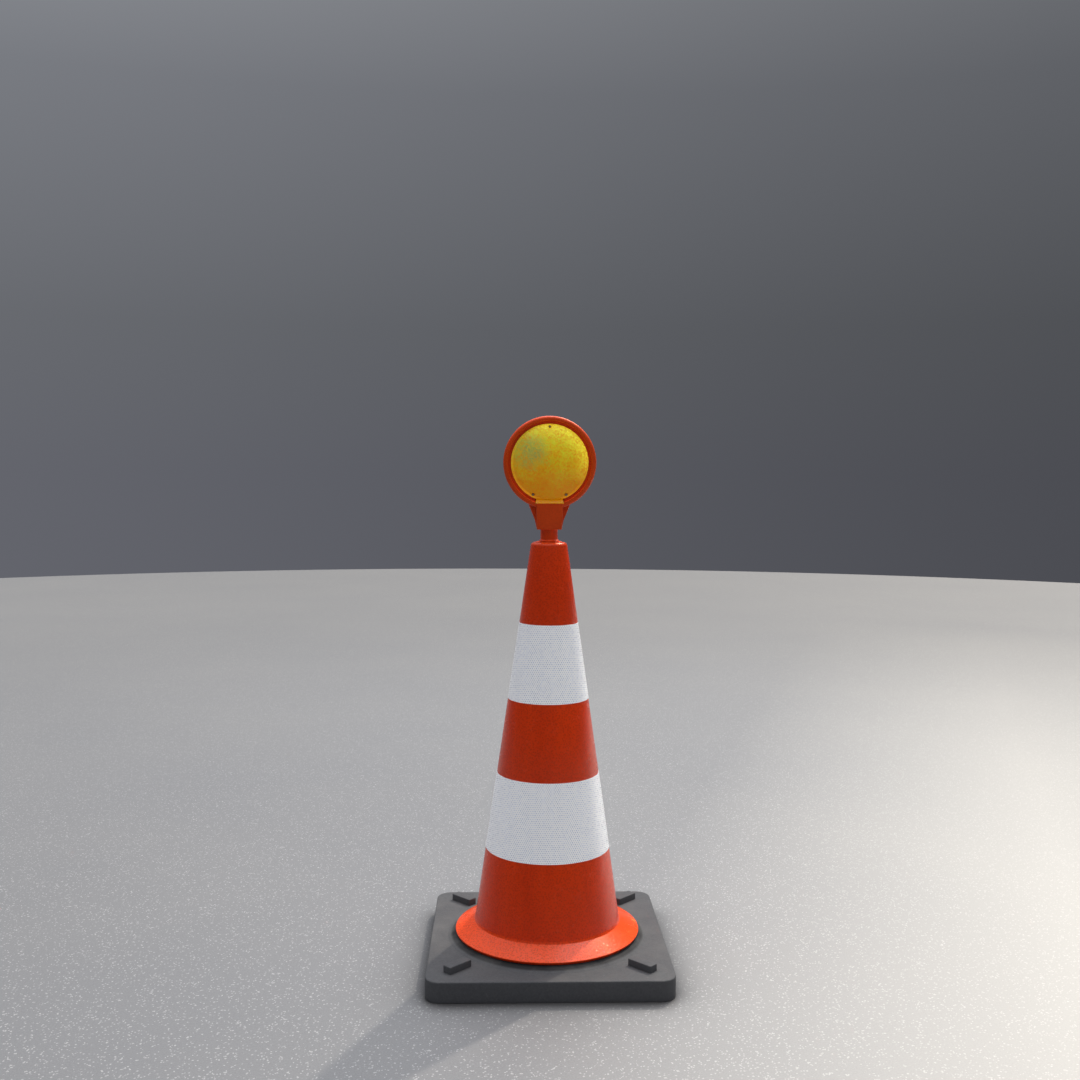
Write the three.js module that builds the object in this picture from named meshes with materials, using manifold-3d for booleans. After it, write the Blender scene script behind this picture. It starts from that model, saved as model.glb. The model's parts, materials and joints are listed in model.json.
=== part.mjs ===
// Barricade warning light: a two-way amber lamp on a battery stem, standing in
// a traffic cone that snaps into a square rubber ballast base.
// Units are millimetres, +Z is up, the front lens looks along -Y, the floor is z = 0.
import * as THREE from 'three';
import Module from 'manifold-3d';

const wasm = await Module();
wasm.setup();

// ---------------------------------------------------------------- dimensions
// Ballast base
const BASE_SIDE = 560;
const BASE_HEIGHT = 48;
const BASE_CORNER_RADIUS = 36;
const BASE_TOP_CHAMFER = 2;
const BASE_FOOT_CHAMFER = 1.5;
const BASE_RECESS_SIDE = 470;
const BASE_RECESS_DEPTH = 6;
const BASE_HOLE_RADIUS = 160.5;
const BASE_SNAP_POCKET_RADIUS = 172;
const BASE_SNAP_LEDGE_Z = 22;
const BOSS_OUTER_RADIUS = 213;
const SEAT_TOP_RADIUS = 217.5;
const SEAT_FOOT_RADIUS = 240;
const LUG_LENGTH = 66;
const LUG_WIDTH = 25;
const LUG_HEIGHT = 16;
const LUG_OFFSET = 209;

// Cone
const CONE_TOP_Z = 1000;
const CONE_TOP_RADIUS = 42.5;
const CONE_TAPER = 0.14467;
const CONE_WALL = 4;
const CONE_SHOULDER_RADIUS = 9.5;
const CONE_FOOT_Z = 89.3;
const SKIRT_RADIUS = 221.5;
const SKIRT_RIM_TOP_Z = 65.3;
const SKIRT_RIM_BOTTOM_Z = 58.9;
const SKIRT_RIM_INSET = 3;
const SKIRT_SLOPE = 0.51;
const COLLAR_OUTER_RADIUS = 159.5;
const COLLAR_INNER_RADIUS = 155.5;
const COLLAR_BOTTOM_Z = 8;
const SNAP_TAB_COUNT = 8;
const SNAP_SLOT_WIDTH = 14;
const SOCKET_RADIUS = 27.3;
const SOCKET_WALL = 3.2;
const SOCKET_BOTTOM_Z = 975;

// Reflective sleeves, bottom and top heights
const UPPER_SLEEVE_Z = [626, 808];
const LOWER_SLEEVE_Z = [265, 447];
const SLEEVE_THICKNESS = 1;
const SLEEVE_GAP = 0.3;
const SLEEVE_RECESS = 0.7;

// Stem bush and battery stem
const BUSH_OUTER_RADIUS = 27;
const BUSH_INNER_RADIUS = 20.9;
const BUSH_LIP_RADIUS = 31;
const BUSH_BOTTOM_Z = 985;
const STEM_RADIUS = 20.5;
const STEM_BORE_RADIUS = 17.8;
const STEM_BOTTOM_Z = 856;
const STEM_TOP_Z = 1058;
const STEM_PARTITION_Z = 1000;
const STEM_COLLAR_RADIUS = 23.5;
const STEM_FLANGE_RADIUS = 24.5;

// Cells, contacts and battery cap
const CELL_RADIUS = 17.1;
const CELL_LENGTH = 61.2;
const CELL_TOP_Z = 998.4;
const CELL_GAP = 0.4;
const CAP_OUTER_RADIUS = 24.5;
const CAP_INNER_RADIUS = 20.9;
const CAP_BOTTOM_Z = 848;
const CAP_FLOOR_Z = 852;
const CAP_TOP_Z = 880;
const CAP_FLUTES = 12;
const SEAL_Z = [880.4, 883.4];

// Lamp head
const LENS_CENTRE_Z = 1189;
const RING_RADIUS = 110;
const RING_FRONT = 31;
const RING_WALL = 3.2;
const PARTING_GAP = 0.15;
const RING_LIP_RADIUS = 99.2;
const RECESS_RADIUS = 98.2;
const RECESS_DEPTH = 18.5;
const RECESS_BACK = 15.3;
const LENS_POCKET_RADIUS = 92.5;
const LENS_SEAT_DEPTH = 14.5;
const LENS_SEAT_BACK = 12.2;
const LENS_SEAT_INNER_RADIUS = 77;
const LENS_RADIUS = 91.7;
const LENS_APEX = 46;
const LENS_SPHERE_RADIUS = 199.4;
const LENS_THICKNESS = 2.6;
const LENS_SCREW_RADIUS = 85;
const LENS_SCREW_ANGLES = [90, 242.5, 297.5];
const TAB_HALF_WIDTH = 33.4;
const TAB_BOTTOM_Z = 1092;
const HOUSING_SCREW_RADIUS = 103.2;
const HOUSING_SCREW_ANGLES = [15, 55, 125, 165, 235, 305];

// Neck of the lamp head: half widths and depths at its bottom and its top
const NECK_BOTTOM_Z = 1031;
const NECK_BOTTOM_HALF = 29.4;
const NECK_TOP_HALF = 31.7;
const NECK_BOTTOM_DEPTH = 29;
const NECK_TOP_DEPTH = 33;
const NECK_WALL = 3;
const WING_DEPTH = 12;

// Facets around the cone and base, the lamp head, the stem and the small pieces
const CONE_FACETS = 48;
const LAMP_FACETS = 40;
const STEM_FACETS = 24;
const SMALL_FACETS = 8;

// Lamp internals
const BOARD_RADIUS = 26;
const BOARD_HALF = 0.8;
const REFLECTOR_HOLE_RADIUS = 12;
const SWITCH_Z = 1072;
const BUTTON_RADIUS = 7.4;

// ------------------------------------------------------------------- helpers
const rad = (degrees) => degrees * Math.PI / 180;

// A raw mesh is a list of points and a list of triangles.
function toSolid(points, triangles) {
  let volume = 0;
  for (const [a, b, c] of triangles) {
    const [p, q, r] = [points[a], points[b], points[c]];
    volume += p[0] * (q[1] * r[2] - q[2] * r[1])
      + p[1] * (q[2] * r[0] - q[0] * r[2])
      + p[2] * (q[0] * r[1] - q[1] * r[0]);
  }
  const order = volume < 0 ? ([a, b, c]) => [a, c, b] : (t) => t;
  return new wasm.Manifold(new wasm.Mesh({
    numProp: 3,
    vertProperties: new Float32Array(points.flat()),
    triVerts: new Uint32Array(triangles.map(order).flat()),
  }));
}

// Turns a closed profile of [radius, height] points about the local Z axis.
function revolve(profile, segments, place = (p) => p) {
  const points = [];
  const rings = profile.map(([radius, height]) => {
    const first = points.length;
    if (radius < 1e-6) {
      points.push(place([0, 0, height]));
      return () => first;
    }
    for (let i = 0; i < segments; i += 1) {
      const angle = 2 * Math.PI * i / segments;
      points.push(place([radius * Math.cos(angle), radius * Math.sin(angle), height]));
    }
    return (i) => first + i % segments;
  });
  const triangles = [];
  for (let k = 0; k < profile.length; k += 1) {
    const next = (k + 1) % profile.length;
    const onAxis = [profile[k][0] < 1e-6, profile[next][0] < 1e-6];
    if (onAxis[0] && onAxis[1]) {
      continue;
    }
    for (let i = 0; i < segments; i += 1) {
      const [a, b] = [rings[k](i), rings[k](i + 1)];
      const [c, d] = [rings[next](i), rings[next](i + 1)];
      if (!onAxis[0]) {
        triangles.push([a, b, d]);
      }
      if (!onAxis[1]) {
        triangles.push([a, d, c]);
      }
    }
  }
  return toSolid(points, triangles);
}

// Joins polygons of equal length, each lying at its own height, into one solid.
function stack(layers, place = (p) => p) {
  const count = layers[0].polygon.length;
  const points = [];
  for (const { polygon, z } of layers) {
    for (const [x, y] of polygon) {
      points.push(place([x, y, z]));
    }
  }
  const outline = layers[0].polygon.map(([x, y]) => new THREE.Vector2(x, y));
  const caps = THREE.ShapeUtils.triangulateShape(outline, []);
  const last = (layers.length - 1) * count;
  const triangles = [];
  for (const [a, b, c] of caps) {
    triangles.push([a, c, b], [last + a, last + b, last + c]);
  }
  const flip = THREE.ShapeUtils.area(outline) < 0;
  for (let k = 0; k < layers.length - 1; k += 1) {
    for (let i = 0; i < count; i += 1) {
      const j = (i + 1) % count;
      const [a, b] = [k * count + i, k * count + j];
      const [c, d] = [a + count, b + count];
      if (flip) {
        triangles.push([a, d, b], [a, c, d]);
      } else {
        triangles.push([a, b, d], [a, d, c]);
      }
    }
  }
  return toSolid(points, triangles);
}

const prism = (polygon, z0, z1, place) => stack([{ polygon, z: z0 }, { polygon, z: z1 }], place);

function box(x0, x1, y0, y1, z0, z1) {
  return prism([[x0, y0], [x1, y0], [x1, y1], [x0, y1]], z0, z1);
}

function cylinder(radius, z0, z1, segments, place) {
  return revolve([[0, z0], [radius, z0], [radius, z1], [0, z1]], segments, place);
}

const at = (x, y) => (p) => [p[0] + x, p[1] + y, p[2]];
const union = (...solids) => solids.reduce((a, b) => a.add(b));
const subtract = (solid, ...tools) => tools.reduce((a, b) => a.subtract(b), solid);

// Front of the lamp: local Z runs out of the front lens, local Y runs up.
const front = (p) => [p[0], -p[2], LENS_CENTRE_Z + p[1]];
const rear = (p) => [-p[0], p[2], LENS_CENTRE_Z + p[1]];
const onRing = (side, radius, degrees) => (p) => side([
  p[0] + radius * Math.cos(rad(degrees)),
  p[1] + radius * Math.sin(rad(degrees)),
  p[2],
]);

// Rounded square, drawn `inset` inside its nominal outline.
function roundedSquare(side, radius, inset, steps) {
  const centre = side / 2 - radius;
  const points = [];
  for (let corner = 0; corner < 4; corner += 1) {
    const sx = corner === 0 || corner === 3 ? 1 : -1;
    const sy = corner < 2 ? 1 : -1;
    for (let i = 0; i <= steps; i += 1) {
      const angle = rad(90 * corner + 90 * i / steps);
      points.push([
        sx * centre + (radius - inset) * Math.cos(angle),
        sy * centre + (radius - inset) * Math.sin(angle),
      ]);
    }
  }
  return points;
}

// Arc of [radius, height] points about a centre, from one angle to another.
function arc(centreR, centreZ, radius, from, to, steps) {
  const points = [];
  for (let i = 0; i <= steps; i += 1) {
    const angle = rad(from + (to - from) * i / steps);
    points.push([centreR + radius * Math.cos(angle), centreZ + radius * Math.sin(angle)]);
  }
  return points;
}

// Round wire that follows a smooth line through the given points.
function wire(route, radius, steps, sides) {
  const curve = new THREE.CatmullRomCurve3(route.map((p) => new THREE.Vector3(...p)));
  const frames = curve.computeFrenetFrames(steps, false);
  const points = [];
  for (let i = 0; i <= steps; i += 1) {
    const centre = curve.getPointAt(i / steps);
    for (let j = 0; j < sides; j += 1) {
      const angle = 2 * Math.PI * j / sides;
      const offset = frames.normals[i].clone().multiplyScalar(radius * Math.cos(angle))
        .add(frames.binormals[i].clone().multiplyScalar(radius * Math.sin(angle)));
      points.push(centre.clone().add(offset).toArray());
    }
  }
  const triangles = [];
  for (let i = 0; i < steps; i += 1) {
    for (let j = 0; j < sides; j += 1) {
      const [a, b] = [i * sides + j, i * sides + (j + 1) % sides];
      triangles.push([a, b, b + sides], [a, b + sides, a + sides]);
    }
  }
  for (let j = 1; j < sides - 1; j += 1) {
    const end = steps * sides;
    triangles.push([0, j + 1, j], [end, end + j, end + j + 1]);
  }
  return toSolid(points, triangles);
}

const part = new THREE.Group();
part.name = 'barricade_warning_light';

function addPiece(name, solid) {
  const mesh = solid.getMesh();
  const geometry = new THREE.BufferGeometry();
  const stride = mesh.numProp;
  const positions = new Float32Array(mesh.vertProperties.length / stride * 3);
  for (let i = 0; i < positions.length / 3; i += 1) {
    for (let k = 0; k < 3; k += 1) {
      positions[3 * i + k] = mesh.vertProperties[stride * i + k];
    }
  }
  geometry.setAttribute('position', new THREE.BufferAttribute(positions, 3));
  geometry.setIndex(new THREE.BufferAttribute(new Uint32Array(mesh.triVerts), 1));
  geometry.computeVertexNormals();
  const piece = new THREE.Mesh(geometry, new THREE.MeshStandardMaterial());
  piece.name = name;
  part.add(piece);
}

// -------------------------------------------------------------- ballast base
const coneRadius = (z) => CONE_TOP_RADIUS + CONE_TAPER * (CONE_TOP_Z - z);
const skirtUnderside = (r) => (
  SKIRT_RIM_BOTTOM_Z + (SKIRT_RADIUS - SKIRT_RIM_INSET - r) * SKIRT_SLOPE
);

function basePlate() {
  const outline = (inset) => roundedSquare(BASE_SIDE, BASE_CORNER_RADIUS, inset, 7);
  let plate = stack([
    { polygon: outline(BASE_FOOT_CHAMFER), z: 0 },
    { polygon: outline(0), z: BASE_FOOT_CHAMFER },
    { polygon: outline(0), z: BASE_HEIGHT - BASE_TOP_CHAMFER },
    { polygon: outline(BASE_TOP_CHAMFER), z: BASE_HEIGHT },
  ]);
  // Raised ring that carries the skirt of the cone, with a sloping shoulder round it.
  plate = plate.add(revolve([
    [BASE_HOLE_RADIUS - 10, BASE_HEIGHT - 5],
    [SEAT_FOOT_RADIUS, BASE_HEIGHT - 5],
    [SEAT_FOOT_RADIUS, BASE_HEIGHT],
    [SEAT_TOP_RADIUS, SKIRT_RIM_BOTTOM_Z - 0.9],
    [BOSS_OUTER_RADIUS, skirtUnderside(BOSS_OUTER_RADIUS) - 0.5],
    [176, skirtUnderside(176) - 0.5],
    [BASE_HOLE_RADIUS - 10, skirtUnderside(176) - 0.5],
  ], CONE_FACETS));
  // Stacking lugs, one on each diagonal.
  for (let corner = 0; corner < 4; corner += 1) {
    const turn = rad(45 + 90 * corner);
    const place = ([x, y, z]) => [
      x * Math.cos(turn) - y * Math.sin(turn),
      x * Math.sin(turn) + y * Math.cos(turn),
      z,
    ];
    const reach = LUG_OFFSET * Math.SQRT2;
    const lugOutline = (inset) => [
      [reach - LUG_LENGTH / 2 + inset, -LUG_WIDTH / 2 + inset],
      [reach + LUG_LENGTH / 2 - inset, -LUG_WIDTH / 2 + inset],
      [reach + LUG_LENGTH / 2 - inset, LUG_WIDTH / 2 - inset],
      [reach - LUG_LENGTH / 2 + inset, LUG_WIDTH / 2 - inset],
    ];
    plate = plate.add(stack([
      { polygon: lugOutline(0), z: BASE_HEIGHT - 3 },
      { polygon: lugOutline(0), z: BASE_HEIGHT + LUG_HEIGHT - 2 },
      { polygon: lugOutline(1.5), z: BASE_HEIGHT + LUG_HEIGHT },
    ], place));
  }
  // Shallow recess underneath, the hole for the cone and the pocket for its snap tabs.
  return subtract(
    plate,
    prism(roundedSquare(BASE_RECESS_SIDE, 20, 0, 3), -1, BASE_RECESS_DEPTH),
    cylinder(BASE_HOLE_RADIUS, -1, BASE_HEIGHT + 50, CONE_FACETS),
    cylinder(BASE_SNAP_POCKET_RADIUS, -1, BASE_SNAP_LEDGE_Z, CONE_FACETS),
  );
}

// ---------------------------------------------------------------------- cone
function coneBody() {
  const recess = (z) => [coneRadius(z) - SLEEVE_RECESS, z];
  const wall = (z) => [coneRadius(z), z];
  const shoulder = arc(
    CONE_TOP_RADIUS + 1.4 - CONE_SHOULDER_RADIUS, CONE_TOP_Z - CONE_SHOULDER_RADIUS,
    CONE_SHOULDER_RADIUS, 8, 90, 3,
  );
  const outside = [
    [SKIRT_RADIUS - SKIRT_RIM_INSET, SKIRT_RIM_BOTTOM_Z],
    [SKIRT_RADIUS - 0.4, SKIRT_RIM_TOP_Z - 2.4],
    [SKIRT_RADIUS, SKIRT_RIM_TOP_Z - 1],
    [SKIRT_RADIUS - 1.2, SKIRT_RIM_TOP_Z + 0.4],
    [coneRadius(CONE_FOOT_Z) + 3, CONE_FOOT_Z - 1.8],
    [coneRadius(CONE_FOOT_Z) + 0.8, CONE_FOOT_Z],
    wall(CONE_FOOT_Z + 2.5),
  ];
  for (const [bottom, top] of [LOWER_SLEEVE_Z, UPPER_SLEEVE_Z]) {
    outside.push(wall(bottom - 1), recess(bottom - 0.6), recess(top + 0.6), wall(top + 1));
  }
  const inside = [
    [SOCKET_RADIUS, CONE_TOP_Z],
    [SOCKET_RADIUS, SOCKET_BOTTOM_Z],
    [SOCKET_RADIUS + SOCKET_WALL, SOCKET_BOTTOM_Z],
    [SOCKET_RADIUS + SOCKET_WALL, CONE_TOP_Z - 7],
    [CONE_TOP_RADIUS - CONE_WALL - 2, CONE_TOP_Z - 7],
    [coneRadius(CONE_TOP_Z - 10) - CONE_WALL, CONE_TOP_Z - 10],
    [coneRadius(CONE_FOOT_Z) - CONE_WALL, CONE_FOOT_Z],
    [COLLAR_INNER_RADIUS, CONE_FOOT_Z - 1],
    [COLLAR_INNER_RADIUS, COLLAR_BOTTOM_Z],
  ];
  const collar = [
    [COLLAR_OUTER_RADIUS + 1, COLLAR_BOTTOM_Z],
    [COLLAR_OUTER_RADIUS + 7, BASE_SNAP_LEDGE_Z - 4],
    [COLLAR_OUTER_RADIUS + 7, BASE_SNAP_LEDGE_Z - 0.4],
    [COLLAR_OUTER_RADIUS, BASE_SNAP_LEDGE_Z - 0.4],
    [COLLAR_OUTER_RADIUS, skirtUnderside(176)],
    [176, skirtUnderside(176)],
  ];
  let cone = revolve([...outside, ...shoulder, ...inside, ...collar], CONE_FACETS);
  for (let i = 0; i < SNAP_TAB_COUNT; i += 1) {
    const turn = rad(360 * (i + 0.5) / SNAP_TAB_COUNT);
    const place = ([x, y, z]) => [
      x * Math.cos(turn) - y * Math.sin(turn),
      x * Math.sin(turn) + y * Math.cos(turn),
      z,
    ];
    const half = SNAP_SLOT_WIDTH / 2;
    const slot = [[145, -half], [175, -half], [175, half], [145, half]];
    cone = cone.subtract(prism(slot, 0, 44, place));
  }
  return cone;
}

function sleeve([bottom, top]) {
  const inner = (z) => coneRadius(z) - SLEEVE_RECESS + SLEEVE_GAP;
  return revolve([
    [inner(bottom), bottom],
    [inner(bottom) + SLEEVE_THICKNESS, bottom],
    [inner(top) + SLEEVE_THICKNESS, top],
    [inner(top), top],
  ], CONE_FACETS);
}

// ----------------------------------------------------- stem, cells, end cap
function stemBush() {
  return revolve([
    [BUSH_INNER_RADIUS, BUSH_BOTTOM_Z],
    [BUSH_OUTER_RADIUS - 1, BUSH_BOTTOM_Z],
    [BUSH_OUTER_RADIUS, CONE_TOP_Z + 0.2],
    [BUSH_LIP_RADIUS, CONE_TOP_Z + 0.2],
    [BUSH_LIP_RADIUS - 0.8, CONE_TOP_Z + 1.6],
    [BUSH_INNER_RADIUS, CONE_TOP_Z + 1.6],
  ], STEM_FACETS);
}

function stemTube() {
  const bush = CONE_TOP_Z + 1.9;
  return revolve([
    [STEM_BORE_RADIUS, STEM_BOTTOM_Z],
    [STEM_RADIUS, STEM_BOTTOM_Z],
    // Shoulder that the cap seal is squeezed against.
    [STEM_RADIUS, SEAL_Z[1] + 0.4],
    [STEM_RADIUS + 2.8, SEAL_Z[1] + 0.4],
    [STEM_RADIUS, SEAL_Z[1] + 4],
    // Bead that keeps the bush on the stem.
    [STEM_RADIUS, BUSH_BOTTOM_Z - 3.6],
    [STEM_RADIUS + 1.3, BUSH_BOTTOM_Z - 0.4],
    [STEM_RADIUS, BUSH_BOTTOM_Z - 0.4],
    // Collar that rests on the bush.
    [STEM_RADIUS, bush],
    [STEM_COLLAR_RADIUS, bush],
    [STEM_COLLAR_RADIUS, bush + 2],
    [STEM_RADIUS, bush + 4.5],
    // Flange held inside the neck of the lamp head.
    [STEM_RADIUS, NECK_BOTTOM_Z + NECK_WALL + 0.3],
    [STEM_FLANGE_RADIUS, NECK_BOTTOM_Z + NECK_WALL + 0.3],
    [STEM_FLANGE_RADIUS, NECK_BOTTOM_Z + NECK_WALL + 3.3],
    [STEM_RADIUS, NECK_BOTTOM_Z + NECK_WALL + 4.5],
    [STEM_RADIUS, STEM_TOP_Z],
    [STEM_BORE_RADIUS, STEM_TOP_Z],
    // Partition with a hole for the wires.
    [STEM_BORE_RADIUS, STEM_PARTITION_Z + 3],
    [4, STEM_PARTITION_Z + 3],
    [4, STEM_PARTITION_Z],
    [STEM_BORE_RADIUS, STEM_PARTITION_Z],
  ], STEM_FACETS);
}

function cell(top) {
  const shell = top - 1.6;
  return revolve([
    [0, top - CELL_LENGTH],
    [CELL_RADIUS - 1, top - CELL_LENGTH],
    [CELL_RADIUS, top - CELL_LENGTH + 1],
    [CELL_RADIUS, shell],
    [4.8, shell],
    [4.8, top],
    [0, top],
  ], 24);
}

function topContact() {
  return subtract(
    revolve([[0, 998.8], [13, 998.8], [13, 999.6], [0, 999.6]], 16),
    cylinder(1.6, 990, 1010, 6, at(7, 0)),
  );
}

function contactSpring() {
  const route = [];
  const turns = 3;
  const steps = 12 * turns;
  for (let i = 0; i <= steps; i += 1) {
    const share = i / steps;
    const angle = 2 * Math.PI * turns * share;
    const radius = 12.5 - 6.5 * share;
    route.push([radius * Math.cos(angle), radius * Math.sin(angle), 853.2 + 21.2 * share]);
  }
  return wire(route, 0.8, 36, 4);
}

function batteryCap() {
  let cap = revolve([
    [0, CAP_BOTTOM_Z],
    [CAP_OUTER_RADIUS - 2, CAP_BOTTOM_Z],
    [CAP_OUTER_RADIUS, CAP_BOTTOM_Z + 2],
    [CAP_OUTER_RADIUS, CAP_TOP_Z - 1],
    [CAP_OUTER_RADIUS - 1, CAP_TOP_Z],
    [CAP_INNER_RADIUS, CAP_TOP_Z],
    [CAP_INNER_RADIUS, CAP_FLOOR_Z],
    [0, CAP_FLOOR_Z],
  ], STEM_FACETS);
  for (let i = 0; i < CAP_FLUTES; i += 1) {
    const angle = rad(360 * i / CAP_FLUTES);
    const place = at((CAP_OUTER_RADIUS + 1.1) * Math.cos(angle), (CAP_OUTER_RADIUS + 1.1) * Math.sin(angle));
    cap = cap.subtract(cylinder(2.6, CAP_BOTTOM_Z - 1, CAP_TOP_Z - 6, 6, place));
  }
  // Coin slot underneath.
  return cap.subtract(box(-15, 15, -1.3, 1.3, CAP_BOTTOM_Z - 1, CAP_BOTTOM_Z + 1.8));
}

function capSeal() {
  const [bottom, top] = SEAL_Z;
  return revolve([
    [CAP_INNER_RADIUS, bottom],
    [CAP_INNER_RADIUS + 1.6, bottom],
    [CAP_INNER_RADIUS + 2.4, (bottom + top) / 2],
    [CAP_INNER_RADIUS + 1.6, top],
    [CAP_INNER_RADIUS, top],
  ], STEM_FACETS);
}

// --------------------------------------------------------------- lamp head
// Extrudes an [x, z] outline from depth d0 to depth d1 in front of the parting line.
function slab(outline, d0, d1, side) {
  const flip = side === rear ? -1 : 1;
  return prism(outline.map(([x, z]) => [x, z]), d0, d1, ([x, z, d]) => [flip * x, -flip * d, z]);
}

const neckHalf = (z, inset) => {
  const share = (z - NECK_BOTTOM_Z) / (TAB_BOTTOM_Z - NECK_BOTTOM_Z);
  return NECK_BOTTOM_HALF + (NECK_TOP_HALF - NECK_BOTTOM_HALF) * share - inset;
};
const neckDepth = (z, inset) => {
  const share = (z - NECK_BOTTOM_Z) / (TAB_BOTTOM_Z - NECK_BOTTOM_Z);
  return NECK_BOTTOM_DEPTH + (NECK_TOP_DEPTH - NECK_BOTTOM_DEPTH) * share - inset;
};

// Tapered block of the neck between two heights, from depth d0 out to its sloping face.
function neckBlock(z0, z1, d0, inset, side) {
  const flip = side === rear ? -1 : 1;
  const layer = (z) => ({
    z,
    polygon: [
      [-neckHalf(z, inset), -flip * d0],
      [-neckHalf(z, inset), -flip * (neckDepth(z, inset) - 1.5)],
      [-neckHalf(z, inset) + 1.5, -flip * neckDepth(z, inset)],
      [neckHalf(z, inset) - 1.5, -flip * neckDepth(z, inset)],
      [neckHalf(z, inset), -flip * (neckDepth(z, inset) - 1.5)],
      [neckHalf(z, inset), -flip * d0],
    ],
  });
  return stack([layer(z0), layer(z1)]);
}

const WING_OUTLINE = [
  [-50, 1100], [-49.9, 1091.8], [-34, 1052], [-29.4, NECK_BOTTOM_Z],
  [29.4, NECK_BOTTOM_Z], [34, 1052], [49.9, 1091.8], [50, 1100],
];
const WING_CAVITY = [
  [-45, 1088], [-31, 1053], [-26.4, 1034],
  [26.4, 1034], [31, 1053], [45, 1088],
];

function housing(side) {
  const isRear = side === rear;
  const lathe = (profile) => revolve(profile, LAMP_FACETS, side);
  const ring = lathe([
    [RING_RADIUS, PARTING_GAP],
    [RING_RADIUS, RING_FRONT - 2],
    [RING_RADIUS - 0.6, RING_FRONT - 0.6],
    [RING_RADIUS - 2, RING_FRONT],
    [RING_LIP_RADIUS, RING_FRONT],
    // Recess round the lens, then the pocket and the seat of the lens.
    [RECESS_RADIUS, RECESS_DEPTH],
    [LENS_POCKET_RADIUS, RECESS_DEPTH],
    [LENS_POCKET_RADIUS, LENS_SEAT_DEPTH],
    [LENS_SEAT_INNER_RADIUS, LENS_SEAT_DEPTH],
    [LENS_SEAT_INNER_RADIUS, LENS_SEAT_BACK],
    [95.7, LENS_SEAT_BACK],
    [95.7, RECESS_BACK],
    [RECESS_RADIUS + RING_WALL, RECESS_BACK],
    [RING_LIP_RADIUS + RING_WALL, RING_FRONT - RING_WALL],
    [RING_RADIUS - RING_WALL, RING_FRONT - RING_WALL],
    [RING_RADIUS - RING_WALL, PARTING_GAP],
  ]);
  // Solid that fills the ring, used to trim the block around the lens tab.
  const ringFill = subtract(
    lathe([[0, PARTING_GAP], [RING_RADIUS, PARTING_GAP], [RING_RADIUS, RING_FRONT - 2],
      [RING_RADIUS - 2, RING_FRONT], [RING_LIP_RADIUS, RING_FRONT],
      [RECESS_RADIUS, RECESS_DEPTH], [0, RECESS_DEPTH]]),
    lathe([[0, LENS_SEAT_DEPTH], [LENS_POCKET_RADIUS, LENS_SEAT_DEPTH],
      [LENS_POCKET_RADIUS, 60], [0, 60]]),
  );
  const tabBlock = slab(
    [[-36.6, 1086], [36.6, 1086], [36.6, 1105], [-36.6, 1105]], LENS_SEAT_BACK, 40, side,
  ).intersect(ringFill);
  let shell = union(
    ring,
    tabBlock,
    neckBlock(NECK_BOTTOM_Z, TAB_BOTTOM_Z, PARTING_GAP, 0, side),
    slab(WING_OUTLINE, PARTING_GAP, WING_DEPTH, side),
  );
  // Inside of the neck and the wings, open to the inside of the ring.
  shell = subtract(
    shell,
    neckBlock(NECK_BOTTOM_Z + NECK_WALL, TAB_BOTTOM_Z - NECK_WALL, -1, NECK_WALL, side),
    slab(WING_CAVITY, -1, WING_DEPTH - NECK_WALL, side),
    slab([[-28, 1080], [28, 1080], [28, 1100], [-28, 1100]], -1, LENS_SEAT_BACK - 0.01, side),
    // Pocket for the sloping tab of the lens.
    slab([[-34, TAB_BOTTOM_Z], [34, TAB_BOTTOM_Z], [34, 1120], [-34, 1120]],
      LENS_SEAT_DEPTH, 60, side).subtract(cylinder(84, -60, 60, 24, front)),
    cylinder(STEM_RADIUS + 0.4, NECK_BOTTOM_Z - 5, NECK_BOTTOM_Z + NECK_WALL + 1, STEM_FACETS),
  );
  for (const degrees of LENS_SCREW_ANGLES) {
    const place = onRing(side, LENS_SCREW_RADIUS, degrees);
    shell = shell.add(cylinder(3.8, 4, LENS_SEAT_BACK + 1, SMALL_FACETS, place));
    shell = shell.subtract(cylinder(1.5, 5, LENS_SEAT_DEPTH + 1, 8, place));
  }
  for (const degrees of HOUSING_SCREW_ANGLES) {
    const place = isRear
      ? onRing(rear, HOUSING_SCREW_RADIUS, 180 - degrees)
      : onRing(front, HOUSING_SCREW_RADIUS, degrees);
    shell = shell.add(cylinder(3.5, PARTING_GAP, RING_FRONT - 2, SMALL_FACETS, place));
    if (isRear) {
      shell = shell.subtract(cylinder(1.8, -1, RING_FRONT + 1, 8, place));
      shell = shell.subtract(cylinder(3.4, RING_FRONT - RING_WALL, RING_FRONT + 1, SMALL_FACETS, place));
    } else {
      shell = shell.subtract(cylinder(1.5, -1, 18, 8, place));
    }
  }
  if (isRear) {
    const throughRear = (p) => [p[0], p[2], SWITCH_Z + p[1]];
    shell = shell.subtract(cylinder(BUTTON_RADIUS + 0.5, 20, 40, 20, throughRear));
  }
  return shell;
}

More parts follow.
